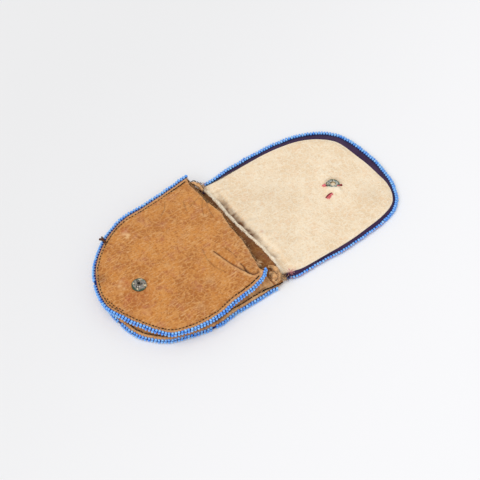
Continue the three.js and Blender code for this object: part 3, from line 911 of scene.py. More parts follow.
def purple_cloth_material():
    """Plain-woven cotton: dull, with a thread every 0.4 mm, drawn at 0.6 mm so that it shows, and a
    painted highlight on the threads' crowns.
    """
    material, nodes = new_material("plain_cotton_cloth")
    rest = add_node(nodes, "ShaderNodeAttribute", attribute_name="rest")
    thread = 0.6
    waves = []
    # A wave texture turns through 20 radians for each unit of its scale
    for direction in ("X", "Y"):
        waves.append(add_node(nodes, "ShaderNodeTexWave", {
            "Vector": rest.outputs["Vector"], "Scale": 2 * math.pi / (20 * thread * MM),
            "Distortion": 1.2, "Detail": 1.0, "Detail Scale": 2.0,
        }, bands_direction=direction))
    weave = add_node(nodes, "ShaderNodeMath", {
        0: waves[0].outputs["Fac"], 1: waves[1].outputs["Fac"],
    }, operation="MAXIMUM")
    fading = add_node(nodes, "ShaderNodeTexNoise", {
        "Vector": rest.outputs["Vector"], "Scale": 1 / (9 * MM), "Detail": 4.0,
    })
    faded = add_node(nodes, "ShaderNodeMapRange", {
        "Value": fading.outputs[0], "From Min": 0.4, "From Max": 0.75,
    })
    colour = add_node(nodes, "ShaderNodeMix", {
        0: faded.outputs[0], 6: linear("#2A1838"), 7: linear("#46304F"),
    }, data_type="RGBA")
    # Painted highlight: the crowns of the weave are lightened.
    weave_highlight = add_node(nodes, "ShaderNodeMapRange", {
        "Value": weave.outputs[0], "To Min": 0.0, "To Max": 0.35,
    })
    colour = add_node(nodes, "ShaderNodeMix", {
        0: weave_highlight.outputs[0], 6: colour.outputs[2], 7: linear("#5A4266"),
    }, data_type="RGBA")
    relief = add_node(nodes, "ShaderNodeBump", {
        "Height": weave.outputs[0], "Distance": 0.15 * MM, "Strength": 0.7,
    })
    surface = add_node(nodes, "ShaderNodeBsdfPrincipled", {
        "Base Color": colour.outputs[2], "Roughness": 0.95, "Specular IOR Level": 0.1,
        "Sheen Weight": 0.15, "Normal": relief.outputs[0],
    })
    add_node(nodes, "ShaderNodeOutputMaterial", {"Surface": surface.outputs[0]})
    return material


purple_cloth = purple_cloth_material()
cover_root = ridge_top + (0, -1.6)
cover_root = even_steps(cover_root[(cover_root[:, 0] > -46.4) & (cover_root[:, 0] < 46.6)], 0.6)
cover_edge = inset(flap_beads, rim_under_beads)
cover_outline = np.vstack([even_steps(cover_edge, 0.6), cover_root])
flap_cover = make_sheet(
    "flap_cloth", cover_outline, cover_surface, cloth_thickness, purple_cloth, spacing=1.1)
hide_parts("flap_cover")
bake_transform(flap_cover)


# The flap's lining
# Cream buckskin that was never smoked, sewn round its edge to the cloth and along its root to the
# top of the back, where it is rolled up into a soft ridge with a valley behind it, painted dark with
# soil and painted shade.
lining_thickness = 0.8
lining_root = ridge_top + (0.15, -1.05)
lining_root = even_steps(lining_root[(lining_root[:, 0] > -45.2) & (lining_root[:, 0] < 44.2)], 0.6)
lining_root[:, 1] += unevenness(lining_root, ((0.42, 3.1, 39), (0.22, 1.3, 40)))
cream_hide = hide_material(
    "unsmoked_buckskin", base="#FCE6C6", deep="#EFD2AC", light="#FFF6E2", soil_and_shade="#6B4426",
    flush="#F3CFA8", vein="#FFF0D6")


def lining_marks(flat):
    """Where the lining is soiled, rubbed pale and stained, and where light and shade are painted on
    it:
    the valley behind the ridge holds soil and painted shade; the face in front of the ridge, the
    pleats' hollows and a ring round the socket hold painted shade; the crest holds a painted
    highlight, and the cut edge is paler, with a painted highlight.
    """
    marks = np.zeros((len(flat), 4))
    behind = behind_ridge(flat)
    x = flat[:, 0]
    # The valley behind the ridge: soil and painted shade together.
    soil_and_shade_span = smooth(x, -36, -24) * (1 - 0.75 * smooth(x, 11, 18)) * (1 - smooth(x, 36, 46))
    rough = 0.7 + 0.3 * bumps(flat, 1.7, 44)
    marks[:, 1] = 0.95 * soil_and_shade_span * rough * smooth(behind, 1.0, 1.9) * smooth(behind, 6.6, 3.4)
    # Painted shade on the lining's face in front of the ridge, down in the mouth.
    marks[:, 1] += 0.6 * smooth(-behind, 1.0, 1.3)
    pleats, carry = seam_pleats(flat, behind)
    # Painted shade in the hollows of the pleats.
    marks[:, 1] += 0.5 * smooth(pleats, 0.1, -0.7) * carry
    # Darker streaks in the far part of the valley: soil and painted shade together.
    streak = smooth(x, -42, -30) * (1 - smooth(x, -12, 6))
    marks[:, 1] += 0.30 * rough * streak * bell(behind - 5.6, 1.0)
    streak = smooth(x, -2, 3) * (1 - smooth(x, 8, 13))
    marks[:, 1] += 0.22 * rough * streak * bell(behind - 6.0, 2.6)
    marks[:, 1] += 0.10 * spot(flat, 26, 88, 8) + 0.08 * spot(flat, -12, 30, 16)
    marks[:, 1] += 0.30 * smooth(x, 38, 46) * bell(behind, 4.0) * rough
    distance, towards, beside = around_socket(flat)
    # Painted shade in a ring round the socket's rim, on the side away from the lip.
    marks[:, 1] += 0.35 * bell(distance - 5.6, 0.7) * (towards < 1.5)
    marks[:, 1] += 0.30 * smooth(bumps(flat, 1.1, 46), 0.2, 0.8) * bell(behind, 1.2)
    # A painted highlight along the crest of the ridge.
    marks[:, 0] = 0.9 * bell(behind - 0.1, 0.9)
    # The cut edge is paler, with a painted highlight on it.
    marks[:, 0] += 0.5 * np.exp(-nearest(flat, lining_edge)[0] / 0.8)
    marks[:, 0] += 0.6 * bell(towards - 4.5, 2) * bell(beside, 6)
    marks[:, 2] = spot(flat, 9.5, 7.2, 1.0, 0.45)
    return np.clip(marks, 0, 1)


lining_outline = np.vstack([lining_edge, lining_root])
flap_lining = make_sheet(
    "lining_hide", lining_outline, lining_surface, lining_thickness, cream_hide, wear_and_shading=lining_marks)
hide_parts("flap_lining")
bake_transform(flap_lining)


# The bead edgings
# Opaque blue glass seed beads, two on each stitch, whipped over the edge of the hide, so each pair
# lies across the rim, which turns the pairs up or down along its way. The stitches are as far apart
# as size 11 beads are wide. The beads are drawn narrower than that, so that the gaps between show.
bead_width = 1.68
bead_length = 1.42
bead_hole = 0.6
stitch_pitch = 2.13
bead_segments = 12
rim_depth = 2.0
rim_reach = 1.42
above_table = 0.03
lowest_thread = 0.18
whipping_radius, rim_line_radius = 0.16, 0.34
core_reach, core_radius = 0.4, 0.88


def bead_template():
    """One bead as a turned ring with well-rounded shoulders: points round its hole's axis Z."""
    outer, hole, half = bead_width / 2, bead_hole / 2, bead_length / 2
    profile = [
        (hole, -half * 0.72), (hole + 0.14, -half * 0.96), (outer * 0.66, -half),
        (outer * 0.86, -half * 0.78), (outer * 0.97, -half * 0.42), (outer, 0.0),
        (outer * 0.97, half * 0.42), (outer * 0.86, half * 0.78), (outer * 0.66, half),
        (hole + 0.14, half * 0.96), (hole, half * 0.72),
    ]
    turns = np.arange(bead_segments) * 2 * math.pi / bead_segments
    points = np.array([
        (r * math.cos(t), r * math.sin(t), z) for t in turns for r, z in profile
    ])
    rows = len(profile)
    faces = []
    for s in range(bead_segments):
        for k in range(rows):
            a, b = s * rows + k, s * rows + (k + 1) % rows
            c = (s + 1) % bead_segments * rows
            faces.append((a, c + k, c + (k + 1) % rows, b))
    return points, np.array(faces)


def bead_material():
    """Opaque soda-lime glass, tumbled smooth: a clear gloss over an even blue, with each bead a
    little lighter or darker than the next."""
    material, nodes = new_material("opaque_blue_glass")
    tone = add_node(nodes, "ShaderNodeAttribute", attribute_name="tone")
    colour = add_node(nodes, "ShaderNodeMix", {
        0: tone.outputs["Fac"], 6: linear("#3C90FA"), 7: linear("#96D0FF"),
    }, data_type="RGBA")
    surface = add_node(nodes, "ShaderNodeBsdfPrincipled", {
        "Base Color": colour.outputs[2], "Roughness": 0.2, "IOR": 1.5,
    })
    add_node(nodes, "ShaderNodeOutputMaterial", {"Surface": surface.outputs[0]})
    return material


def thread_material(name, base, light, rough):
    """Twisted thread, loose fibre or thong: dull, and paler in places along its length."""
    material, nodes = new_material(name)
    rest = add_node(nodes, "ShaderNodeAttribute", attribute_name="rest")
    plies = add_node(nodes, "ShaderNodeTexNoise", {
        "Vector": rest.outputs["Vector"], "Scale": 1 / (0.5 * MM), "Detail": 2.0,
    })
    share = add_node(nodes, "ShaderNodeMapRange", {
        "Value": plies.outputs[0], "From Min": 0.4, "From Max": 0.7,
    })
    colour = add_node(nodes, "ShaderNodeMix", {
        0: share.outputs[0], 6: linear(base), 7: linear(light),
    }, data_type="RGBA")
    surface = add_node(nodes, "ShaderNodeBsdfPrincipled", {
        "Base Color": colour.outputs[2], "Roughness": rough, "Specular IOR Level": 0.2,
    })
    add_node(nodes, "ShaderNodeOutputMaterial", {"Surface": surface.outputs[0]})
    return material


blue_glass = bead_material()
bead_thread = thread_material("waxed_bead_thread", "#C98A78", "#EBC7B4", 0.7)
# The dark blue core under the beads is painted shade, not thread: it stands for the shade in the gaps
# between them.
painted_shade_core_material = thread_material("painted_shade_under_beads", "#0A2464", "#123C8C", 0.9)
template, template_faces = bead_template()


def unit(vectors):
    return vectors / np.linalg.norm(vectors, axis=-1, keepdims=True)


off_every_thread = (0.13, 0.21, 1.0)


def tubes(name, paths, radii, material, sides=6, blunt=0.35):
    """Round threads along paths of points in millimetres, joined into one piece."""
    points, faces = [], []
    start = 0
    for path, radius in zip(paths, radii):
        path = np.asarray(path, float)
        run = unit(np.gradient(path, axis=0))
        side = unit(np.cross(run, off_every_thread))
        other = np.cross(run, side)
        taper = np.minimum(1, blunt + np.minimum(np.arange(len(path)), np.arange(len(path))[::-1]))
        for k in range(len(path)):
            for s in range(sides):
                turn = 2 * math.pi * s / sides
                reach = radius * taper[k]
                points.append(path[k] + (side[k] * math.cos(turn) + other[k] * math.sin(turn)) * reach)
        for k in range(len(path) - 1):
            for s in range(sides):
                a, b = start + k * sides + s, start + k * sides + (s + 1) % sides
                faces.append((a, b, b + sides, a + sides))
        faces.append(tuple(start + s for s in range(sides - 1, -1, -1)))
        faces.append(tuple(start + (len(path) - 1) * sides + s for s in range(sides)))
        start += len(path) * sides
    return make_piece(name, np.array(points), faces, material)


def bead_edging(name, line, height, seed, rim_turn, gaps=(), whipped_inside=True):
    """Bead pairs on a rim: the beads, a dark core under them that stands for the shade in the gaps,
    and the thread's visible loops.

    rim_turn gives, for shares of the way, how far up the rim the middle of a pair lies and how far
    each bead is from there, in degrees.
    """
    rng = np.random.default_rng(seed)
    stations = even_steps(line, stitch_pitch)
    count = len(stations)
    into = inward(stations)
    run = np.stack([into[:, 1], -into[:, 0]], 1)
    shares, turns, spreads = zip(*rim_turn)
    turn = np.radians(np.interp(np.linspace(0, 1, count), shares, turns))
    spread = np.radians(np.interp(np.linspace(0, 1, count), shares, spreads))
    steps = np.column_stack([np.arange(count) * stitch_pitch, np.zeros(count)])
    swell = unevenness(steps, ((0.22, 7.5, seed), (0.12, 2.5, seed + 1)))

    def on_rim(k, angle, reach):
        flat = stations[k] + into[k] * (rim_depth + swell[k] - reach * math.cos(angle))
        return np.array([*flat, max(height + reach * math.sin(angle), lowest_thread)])

    points, faces, tones, loops = [], [], [], []
    for k in range(count):
        if any(abs(k * stitch_pitch - place) < width / 2 for place, width in gaps):
            continue
        slant = 0.14 + rng.normal(0, 0.05)
        for sign in (1, -1):
            angle = turn[k] + sign * spread[k] + rng.normal(0, 0.05)
            centre = on_rim(k, angle, rim_reach + rng.normal(0, 0.06))
            centre[:2] += run[k] * (sign * slant + rng.normal(0, 0.06))
            centre[2] = max(centre[2], bead_width / 2 + above_table)
            axis = np.array([*(into[k] * math.sin(angle)), math.cos(angle)])
            axis = unit(axis + np.array([*run[k], 0]) * (slant + rng.normal(0, 0.07)))
            side = unit(np.cross(axis, [*run[k], 0.0]))
            other = np.cross(axis, side)
            scale = 1 + rng.normal(0, 0.035, 3)
            turned = (template * scale) @ np.stack([side, other, axis])
            faces.append(template_faces + sum(len(p) for p in points))
            points.append(turned + centre)
            tones.append(np.full(len(template), np.clip(rng.normal(0.55, 0.2), 0, 1)))
        if whipped_inside:
            angles = turn[k] + spread[k] + np.array([0.45, 0.8, 1.15])
            loop = [on_rim(k, a, r) for a, r in zip(angles, (1.35, 1.35, 1.2))]
            inner_end = loop[-1] + np.array([*(into[k] * 0.7), -0.35])
            loops.append(np.array([*loop, inner_end]) + np.array([*(run[k] * (slant + 0.1)), 0]))
        under = turn[k] - spread[k] - np.array([0.45, 0.8, 1.2])
        loops.append(np.array([on_rim(k, a, 1.35) for a in under]))
    beads = make_piece(name, np.vstack(points), np.vstack(faces).tolist(), blue_glass)
    beads.data.attributes.new("tone", "FLOAT", "POINT").data.foreach_set(
        "value", np.concatenate(tones).astype(np.float32))
    # The painted shade core along the rim, under the beads.
    core_line = np.array([on_rim(k, turn[k], core_reach) for k in range(count)])
    core = tubes(f"{name}_painted_shade_core", [core_line], [core_radius], painted_shade_core_material, sides=8, blunt=0.8)
    apart = [k for k in range(count) if spread[k] > math.radians(40)]
    if apart:
        loops.append(np.array([on_rim(k, turn[k] + 0.1, 1.4) for k in apart]))
    radii = [whipping_radius if len(loop) < 9 else rim_line_radius for loop in loops]
    whipping = tubes(f"{name}_thread", loops, radii, bead_thread, sides=5)
    return beads, core, whipping


front_set = bead_edging(
    "front_beads", front_beads, front_edge_height, 41, gaps=[(110, 2.2)],
    rim_turn=((0, 58, 29), (0.22, 50, 29), (0.33, 12, 29), (0.46, 0, 29), (0.56, 40, 29), (1, 40, 29)))
back_set = bead_edging(
    "back_beads", back_beads, back_edge_height, 42, gaps=[(140, 2.2), (206, 2.2)],
    rim_turn=((0, 35, 29), (0.4, 25, 29), (0.6, 40, 29), (0.8, 30, 29), (1, 18, 29)))
flap_set = bead_edging(
    "flap_beads", flap_beads, flap_edge_height, 43, gaps=[(294, 2.4)], whipped_inside=False,
    rim_turn=((0, -6, 46), (0.26, -4, 46), (0.32, 20, 34), (0.4, 66, 29), (0.9, 76, 29), (1, 60, 29)))
for set_of_three, node in (
    (front_set, "front_bead_edging"), (back_set, "back_bead_edging"), (flap_set, "flap_bead_edging"),
):
    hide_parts(node)
    for piece in set_of_three:
        if node == "flap_bead_edging":
            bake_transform(piece)
        else:
            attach(piece, "pouch")


# The running stitches
# Black cotton thread, sewn in and out just inside the beads: it joins the gusset to the front and
# to the back. Each stitch shows as a short dark bar that pulls the hide down at both ends.
def running_stitches(line, height, pitch, length, seed, lift=0.0):
    """Paths of short stitches on a surface, each dipping into it at both ends."""
    rng = np.random.default_rng(seed)
    total = np.linalg.norm(np.diff(line, axis=0), axis=1).sum()
    paths = []
    where = 0.5
    while where + length < total:
        own = length * rng.uniform(0.8, 1.2)
        flat = along(line, (where + np.linspace(0, own, 6)) / total)
        flat = flat + rng.normal(0, 0.12, 2)
        dip = np.array([-0.45, 0.14, 0.28, 0.28, 0.14, -0.45]) + lift
        paths.append(np.column_stack([flat, height(flat) + hide_thickness / 2 + dip]))
        where += pitch * rng.uniform(0.9, 1.1)
    return paths


def gusset_height(flat):
    """The gusset's upper face beside the back's beads, where its lower seam runs."""
    return np.full(len(flat), back_edge_height + thread_rise - 0.15)


black_thread = thread_material("black_cotton_thread", "#17110E", "#43352A", 0.9)
front_travel_mm = np.linalg.norm(np.diff(front_stitch_line, axis=0), axis=1).sum()


def part_of(line, first, last):
    """The stretch of a line between two distances along it."""
    total = np.linalg.norm(np.diff(line, axis=0), axis=1).sum()
    return along(line, np.linspace(first, last, max(6, round((last - first) / 0.5))) / total)


front_paths = running_stitches(
    part_of(front_stitch_line, 0, 14), front_height, 2.0, 1.9, 52, lift=0.05)
front_paths += running_stitches(part_of(front_stitch_line, 14, 52), front_height, 2.2, 1.3, 51)
front_paths += running_stitches(
    part_of(front_stitch_line, 52, 98), front_height, 2.3, 1.5, 56, lift=-0.14)
front_paths += running_stitches(
    part_of(front_stitch_line, 98, front_travel_mm - 24), front_height, 2.2, 1.3, 57)
front_paths += running_stitches(
    part_of(front_stitch_line, front_travel_mm - 24, front_travel_mm), front_height, 2.1, 1.95, 53)
doubled = inset(part_of(front_stitch_line, 118, 134), 1.1)
front_paths += running_stitches(doubled, front_height, 2.2, 1.2, 54)
fine_stitch_radius, bold_stitch_radius, bold_stitch_length = 0.30, 0.38, 1.5
front_radii = [
    bold_stitch_radius if np.linalg.norm(path[-1] - path[0]) > bold_stitch_length
    else fine_stitch_radius for path in front_paths
]
back_thread_line = inset(back_beads, np.interp(
    np.linspace(0, 1, len(back_beads)), gusset_shares, thread_inset)[:, None])
back_paths = running_stitches(back_thread_line[16:], gusset_height, 2.2, 2.05, 55)
back_radii = [fine_stitch_radius] * len(back_paths)
for name, paths, radii in (
    ("front_stitches", front_paths, front_radii), ("back_stitches", back_paths, back_radii),
):
    stitches = tubes(name, paths, radii, black_thread)
    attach(stitches, "pouch")


# The corner stitches
# The same black thread runs on past the last beads at both ends of the mouth, where it holds the
# gusset's curls to the back.
corner_paths = [
    [(49.6, -5.4, 3.4), (50.0, -7.0, 4.0), (49.6, -8.8, 3.9), (49.3, -10.4, 3.7)],
    [(49.4, -10.0, 3.9), (49.2, -11.6, 3.9), (48.9, -13.2, 3.6), (48.5, -14.6, 3.2)],
    [(48.9, -13.8, 3.6), (48.4, -16.0, 3.8), (47.9, -18.2, 3.7), (47.6, -19.8, 3.3)],
    [(-48.9, -6.6, 7.8), (-49.4, -8.6, 9.6), (-49.2, -10.6, 10.0), (-48.6, -12.4, 10.2)],
]
corner_stitches = tubes(
    "corner_stitches", [smooth_line(path, 0.5) for path in corner_paths],
    [0.4, 0.4, 0.36, 0.34], black_thread)
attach(corner_stitches, "pouch")


# The thong stub
# A short end of brown hide thong, knotted through the left edge over the beads.
thong_brown = thread_material("brown_hide_thong", "#3A241A", "#7A4E36", 0.9)
thong_stub = tubes("thong_stub", [smooth_line(points, 0.4) for points in (
    [(-36.4, -84.9, 11.8), (-37.9, -85.5, 13.2), (-39.6, -86.2, 13.1), (-41.3, -87.2, 12.2)],
    [(-38.6, -85.2, 12.9), (-40.4, -85.2, 13.2), (-42.0, -84.9, 12.4)],
)], [0.8, 0.6], thong_brown, sides=7)
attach(thong_stub, "pouch")


# The snap
# A sewn-on press stud of plated brass, gone grey-green: the stud on the front and the socket on the
# lining. Each is a flanged disc with four holes, through which it is sewn with loose pale thread.
def snap_material(name, plate, middle):
    """Tarnished plate: dull grey metal with dark pits, a green bloom towards its edges, and a painted
    shade in its middle.
    """
    material, nodes = new_material(name)
    place = add_node(nodes, "ShaderNodeTexCoord")
    from_middle = add_node(nodes, "ShaderNodeVectorMath", {
        0: place.outputs["Generated"], 1: (1, 1, 0), 2: (-0.5, -0.5, 0),
    }, operation="MULTIPLY_ADD")
    away = add_node(nodes, "ShaderNodeVectorMath", {0: from_middle.outputs[0]}, operation="LENGTH")
    bloom = add_node(nodes, "ShaderNodeTexNoise", {
        "Vector": place.outputs["Object"], "Scale": 1 / (2.6 * MM), "Detail": 4.0,
    })
    pits = add_node(nodes, "ShaderNodeTexNoise", {
        "Vector": place.outputs["Object"], "Scale": 1 / (0.9 * MM), "Detail": 3.0,
    })
    outwards = add_node(nodes, "ShaderNodeMath", {
        0: away.outputs["Value"], 1: bloom.outputs[0],
    }, operation="ADD")
    share = add_node(nodes, "ShaderNodeMapRange", {
        "Value": outwards.outputs[0], "From Min": 0.84, "From Max": 0.99,
    })
    # Painted shade: each part is darkened at its middle, where shade falls round the post.
    painted_shade_middle = add_node(nodes, "ShaderNodeMapRange", {
        "Value": away.outputs["Value"], "From Min": 0.15, "From Max": 0.09,
    })
    pitted = add_node(nodes, "ShaderNodeMapRange", {
        "Value": pits.outputs[0], "From Min": 0.50, "From Max": 0.62,
    })
    colour = add_node(nodes, "ShaderNodeMix", {
        0: share.outputs[0], 6: linear(plate), 7: linear("#2F5A47"),
    }, data_type="RGBA")
    colour = add_node(nodes, "ShaderNodeMix", {
        0: painted_shade_middle.outputs[0], 6: colour.outputs[2], 7: linear(middle),
    }, data_type="RGBA")
    colour = add_node(nodes, "ShaderNodeMix", {
        0: pitted.outputs[0], 6: colour.outputs[2], 7: linear("#4A4438"),
    }, data_type="RGBA")
    dull = add_node(nodes, "ShaderNodeMapRange", {
        "Value": share.outputs[0], "To Min": 0.85, "To Max": 0.15,
    })
    relief = add_node(nodes, "ShaderNodeBump", {
        "Height": pits.outputs[0], "Distance": 0.15 * MM, "Strength": 0.8,
    })
    surface = add_node(nodes, "ShaderNodeBsdfPrincipled", {
        "Base Color": colour.outputs[2], "Metallic": dull.outputs[0], "Roughness": 0.42,
        "Normal": relief.outputs[0],
    })
    add_node(nodes, "ShaderNodeOutputMaterial", {"Surface": surface.outputs[0]})
    return material


def spring_material():
    """Hard-drawn brass wire, brown with age, still bright where the stud has rubbed it."""
    material, nodes = new_material("drawn_brass_wire")
    place = add_node(nodes, "ShaderNodeTexCoord")
    rub = add_node(nodes, "ShaderNodeTexNoise", {
        "Vector": place.outputs["Object"], "Scale": 1 / (1.2 * MM), "Detail": 2.0,
    })
    colour = add_node(nodes, "ShaderNodeMix", {
        0: rub.outputs[0], 6: linear("#6E5430"), 7: linear("#C6A666"),
    }, data_type="RGBA")
    surface = add_node(nodes, "ShaderNodeBsdfPrincipled", {
        "Base Color": colour.outputs[2], "Metallic": 1.0, "Roughness": 0.4,
    })
    add_node(nodes, "ShaderNodeOutputMaterial", {"Surface": surface.outputs[0]})
    return material


for node, finish in (
    ("snap_stud", snap_material("tarnished_plated_brass", "#B4AEA6", "#2A2624")),
    ("snap_socket", snap_material("rubbed_plated_brass", "#DEE0D6", "#6E6A60")),
    ("snap_spring", spring_material()),
):
    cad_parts[node].data.materials.clear()
    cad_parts[node].data.materials.append(finish)

hole_reach, far_rim, near_rim = 2.6, 5.1, 4.2
pale_thread = thread_material("unbleached_sewing_thread", "#D9C8A4", "#F3E8CF", 0.85)
red_thread = thread_material("faded_red_wool_thread", "#D85A64", "#F5A0A2", 0.9)
dark_red_thread = thread_material("dark_red_wool_thread", "#5E1218", "#B03A42", 0.9)


def sewn_tufts(middle, ground, top, seed, holes=(0, 1, 2, 3), strands=3):
    """Loops of thread from each hole of a snap out over its rim; the first hole's reach furthest."""
    rng = np.random.default_rng(seed)
    paths = []
    for hole in holes:
        angle = math.radians(45 + 90 * hole)
        for strand in range(strands):
            bend = angle + (strand - (strands - 1) / 2) * 0.19 + rng.normal(0, 0.05)
            own = rng.uniform(0.85, 1.1)
            rim = far_rim if hole == 0 else near_rim
            reach = [
                (hole_reach, top - 0.5), (3.0, top + 0.2), (rim * 0.8, top + 0.35 * own),
                (rim * 0.92, top + 0.2), (rim * own, top - 0.2), (rim * own + 0.2, ground - 0.3),
            ]
            paths.append([
                (middle.x + r * math.cos(b), middle.y + r * math.sin(b), z)
                for (r, z), b in zip(reach, np.linspace(angle, bend, 6))
            ])
    return paths


stud_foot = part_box("snap_stud")[0].z / MM
socket_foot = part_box("snap_socket")[0].z / MM
stud_loops = sewn_tufts(piece_middle("snap_stud"), stud_foot, stud_foot + 0.62, 81)
socket_loops = sewn_tufts(socket_middle, socket_foot, socket_foot + 0.6, 82, holes=(1, 2))
for name, loops, radius, body in (
    ("stud_thread", stud_loops, 0.19, "pouch"), ("socket_thread", socket_loops, 0.16, "flap"),
):
    tufts = tubes(name, loops, [radius] * len(loops), pale_thread, sides=5)
    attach(tufts, body)


def lying_thread(points, lift):
    """A thread's path over the lining through plan points."""
    line = smooth_line(points, 0.4)
    return np.column_stack([line, lining_surface(line)[:, 2] + lining_thickness / 2 + lift])


faded_ends = tubes("faded_red_ends", [
    lying_thread([(12.3, 60.3), (11.6, 62.2), (11.2, 64.4), (11.4, 66.2)], 0.35),
    lying_thread([(13.2, 61.2), (12.6, 62.6), (12.1, 64.0)], 0.25),
    lying_thread([(1.1, 65.2), (2.0, 65.0), (2.6, 65.8), (2.0, 66.5), (1.2, 65.9)], 0.5),
    lying_thread([(7.0, 72.2), (7.6, 73.4), (8.2, 74.6)], 0.3),
], [0.6, 0.42, 0.75, 0.4], red_thread, sides=7)
dark_ends = tubes("dark_red_ends", [
    lying_thread([(11.3, 59.8), (10.5, 62.0), (10.1, 64.2), (10.5, 66.2)], 0.4),
    lying_thread([(2.8, 66.4), (3.3, 67.0), (3.4, 67.5)], 0.3),
    lying_thread([(8.0, 74.8), (8.6, 75.6), (8.9, 76.4)], 0.4),
], [0.42, 0.42, 0.72], dark_red_thread, sides=7)
for ends in (faded_ends, dark_ends):
    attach(ends, "flap")


# The belt loops
# Two straps of the same hide under the back, sewn down at both ends with crossed black thread, that
# a belt passes through. The pouch lies on them, so they are pressed flat. They are guessed, because
# that side can't be seen.
strap_thickness = 1.0
strap_cuts = 31
sewn_end = 7.0
cross_spacing, cross_radius = 2.4, 0.24
loop_stitches = []
for side_name in ("left", "right"):
    node = f"belt_loop_{side_name}"
    low, high = (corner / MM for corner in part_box(node))
    rng = np.random.default_rng(len(side_name))
    strap_line = smooth_line([
        (high.y, high.z - 0.62), (high.y - sewn_end * 0.6, high.z - 0.66),
        (high.y - sewn_end, high.z - 0.78), (high.y - sewn_end - 2.6, 1.05),
        (high.y - sewn_end - 5.4, 0.66), ((low.y + high.y) / 2, 0.62),
        (low.y + sewn_end + 5.4, 0.66), (low.y + sewn_end + 2.6, 1.05),
        (low.y + sewn_end, high.z - 0.78), (low.y + sewn_end * 0.6, high.z - 0.66),
        (low.y, high.z - 0.62),
    ], 0.7)
    strap_profiles = []
    for k, (y, _) in enumerate(strap_line):
        half = (high.x - low.x) / 2 + 0.25 * bumps(np.array([[y, 5.0]]), 6, len(side_name))[0]
        across = np.linspace(-half, half, strap_cuts)
        cup = 0.05 * bumps(np.column_stack([across, np.full(strap_cuts, y)]), 3, 72)
        profile = np.column_stack([across, cup])
        edge = np.sqrt(np.clip(1 - (np.abs(across) / half) ** 12, 0.04, 1)) * strap_thickness / 2
        strap_profiles.append(np.vstack([
            profile + np.column_stack([np.zeros(strap_cuts), edge]),
            (profile - np.column_stack([np.zeros(strap_cuts), edge]))[::-1],
        ]))
    middle_x = (low.x + high.x) / 2
    strap_sections = [
        np.column_stack([middle_x + profile[:, 0], np.full(len(profile), y), z + profile[:, 1]])
        for (y, z), profile in zip(strap_line, strap_profiles)
    ]
    strap_wear = np.zeros((len(strap_line) * strap_cuts * 2, 4))
    strap_wear[:, 1] = 0.25 + 0.2 * bumps(np.vstack(strap_sections)[:, :2], 7, 73)
    strap_wear[:, 0] = 0.35 * (np.vstack(strap_sections)[:, 2] < 0.2)
    strap = sweep(node.replace("belt_loop", "belt_strap"), strap_sections, tan_hide, wear_and_shading=strap_wear)
    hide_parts(node)
    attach(strap, "pouch")
    for end in (high.y - sewn_end / 2, low.y + sewn_end / 2):
        under = high.z - 0.66 - strap_thickness / 2
        for x in np.arange(low.x + 2, high.x - 1, cross_spacing):
            for slope in (-1, 1):
                shift = rng.normal(0, 0.1)
                loop_stitches.append([
                    (x + slope * t + shift, end + 1.8 * t, under + 0.25 - 0.42 * (1 - abs(t) ** 3))
                    for t in np.linspace(-1, 1, 7)
                ])
strap_stitches = tubes(
    "strap_stitches", loop_stitches, [cross_radius] * len(loop_stitches), black_thread)
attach(strap_stitches, "pouch")


# The loose fibres
# Where hide is cut and handled its fibres come loose as a short fuzz: along the mouth, the hinge
# seam and the corners, with loose ends of pink and purple thread among them.
def fibres(name, roots, leaning, length, radius, material, seed, body):
    """Short bent hairs that stand on roots and lean a given way, each a little different."""
    rng = np.random.default_rng(seed)
    paths = []
    for root, lean in zip(roots, leaning):
        own = length * rng.uniform(0.45, 1.3)
        way = unit(np.asarray(lean, float) + rng.normal(0, 0.45, 3))
        bend = rng.normal(0, 0.45, 3)
        path = np.array([
            root + way * own * t + bend * own * 0.5 * t * t - np.array([0, 0, 0.35]) * own * t * t
            for t in np.linspace(0, 1, 5)
        ])
        path[:, 2] = np.maximum(path[:, 2], radius + above_table)
        paths.append(path)
    piece = tubes(name, paths, [radius] * len(paths), material, sides=3, blunt=0.3)
    if body == "hinge":
        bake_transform(piece)
    else:
        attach(piece, body)
    return piece


def scattered(line, heights, per_mm, spread, seed):
    """Points strewn along a line of plan points, on a surface."""
    rng = np.random.default_rng(seed)
    total = np.linalg.norm(np.diff(line, axis=0), axis=1).sum()
    flat = along(line, np.sort(rng.uniform(0, 1, round(total * per_mm))))
    flat = flat + rng.normal(0, spread, flat.shape)
    return np.column_stack([flat, heights(flat)])


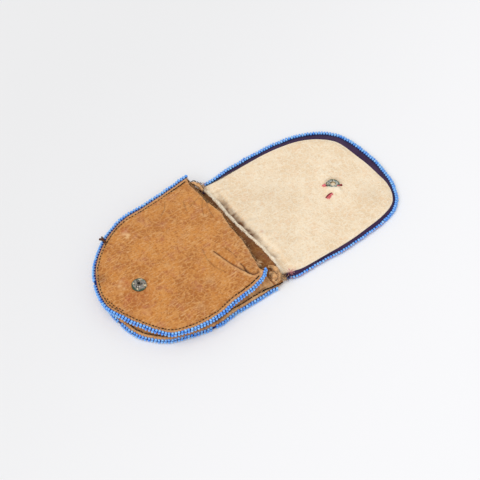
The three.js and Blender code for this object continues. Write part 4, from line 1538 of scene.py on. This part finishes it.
hide_fuzz = thread_material("loose_hide_fibres", "#D0A070", "#F2D8AE", 0.95)
cream_fuzz = thread_material("loose_cream_fibres", "#F0D6AE", "#FFF0D8", 0.95)
mouth_roots = scattered(front_mouth, lambda flat: front_height(flat) + 0.45, 1.6, 0.25, 91)
fibres("mouth_fuzz", mouth_roots, np.tile((0.1, 0.8, 0.35), (len(mouth_roots), 1)), 1.5, 0.06,
       hide_fuzz, 92, "pouch")
seam_roots = scattered(
    lining_root + (0, 0.7), lambda flat: lining_surface(flat)[:, 2] + 0.35, 2.2, 0.4, 93)
fibres("seam_fuzz", seam_roots, np.tile((0.2, -0.3, 0.8), (len(seam_roots), 1)), 1.2, 0.08,
       cream_fuzz, 94, "hinge")
pink_fuzz = thread_material("loose_pink_fibres", "#E08088", "#F7C4BE", 0.95)
purple_fuzz = thread_material("loose_purple_threads", "#2A1434", "#4A2C58", 0.95)
# Each tangle's name, middle, spread, number of fibres, material and seed
corner_tangles = (
    ("pink_root_tangle", (46.8, 3.2, 4.6), (1.8, 1.6, 0.3), 46, pink_fuzz, 85),
    ("purple_root_tangle", (47.6, 0.2, 3.4), (1.9, 1.4, 0.5), 120, purple_fuzz, 86),
    ("left_purple_tangle", (-48.0, -5.6, 5.4), (1.6, 1.8, 0.8), 50, purple_fuzz, 87),
    ("left_root_tangle", (-45.2, -4.4, 4.6), (2.6, 2.2, 0.8), 130, hide_fuzz, 88),
    ("right_corner_tangle", (44.0, -6.5, 5.8), (3.6, 2.6, 0.8), 190, hide_fuzz, 95),
    ("right_root_tangle", (47.2, -2.4, 3.4), (2.6, 1.8, 0.7), 130, hide_fuzz, 96),
    ("left_corner_tangle", (-43.5, -8.2, 9.0), (3.4, 1.8, 0.6), 60, hide_fuzz, 97),
    ("left_mouth_tangle", (-42.0, -7.4, 5.6), (2.8, 1.6, 1.0), 90, purple_fuzz, 99),
    ("mouth_corner_lump", (33.6, -13.2, 12.9), (1.3, 0.8, 0.5), 70, hide_fuzz, 98),
)
for name, middle, spread, number, fuzz, seed in corner_tangles:
    rng = np.random.default_rng(seed)
    roots = np.array(middle) + rng.normal(0, 0.55, (number, 3)) * spread
    fibres(name, roots, rng.normal(0, 0.8, (number, 3)) + (0, 0, 0.4), 2.2, 0.09, fuzz, seed,
           "hinge" if middle[1] > -5 else "pouch")
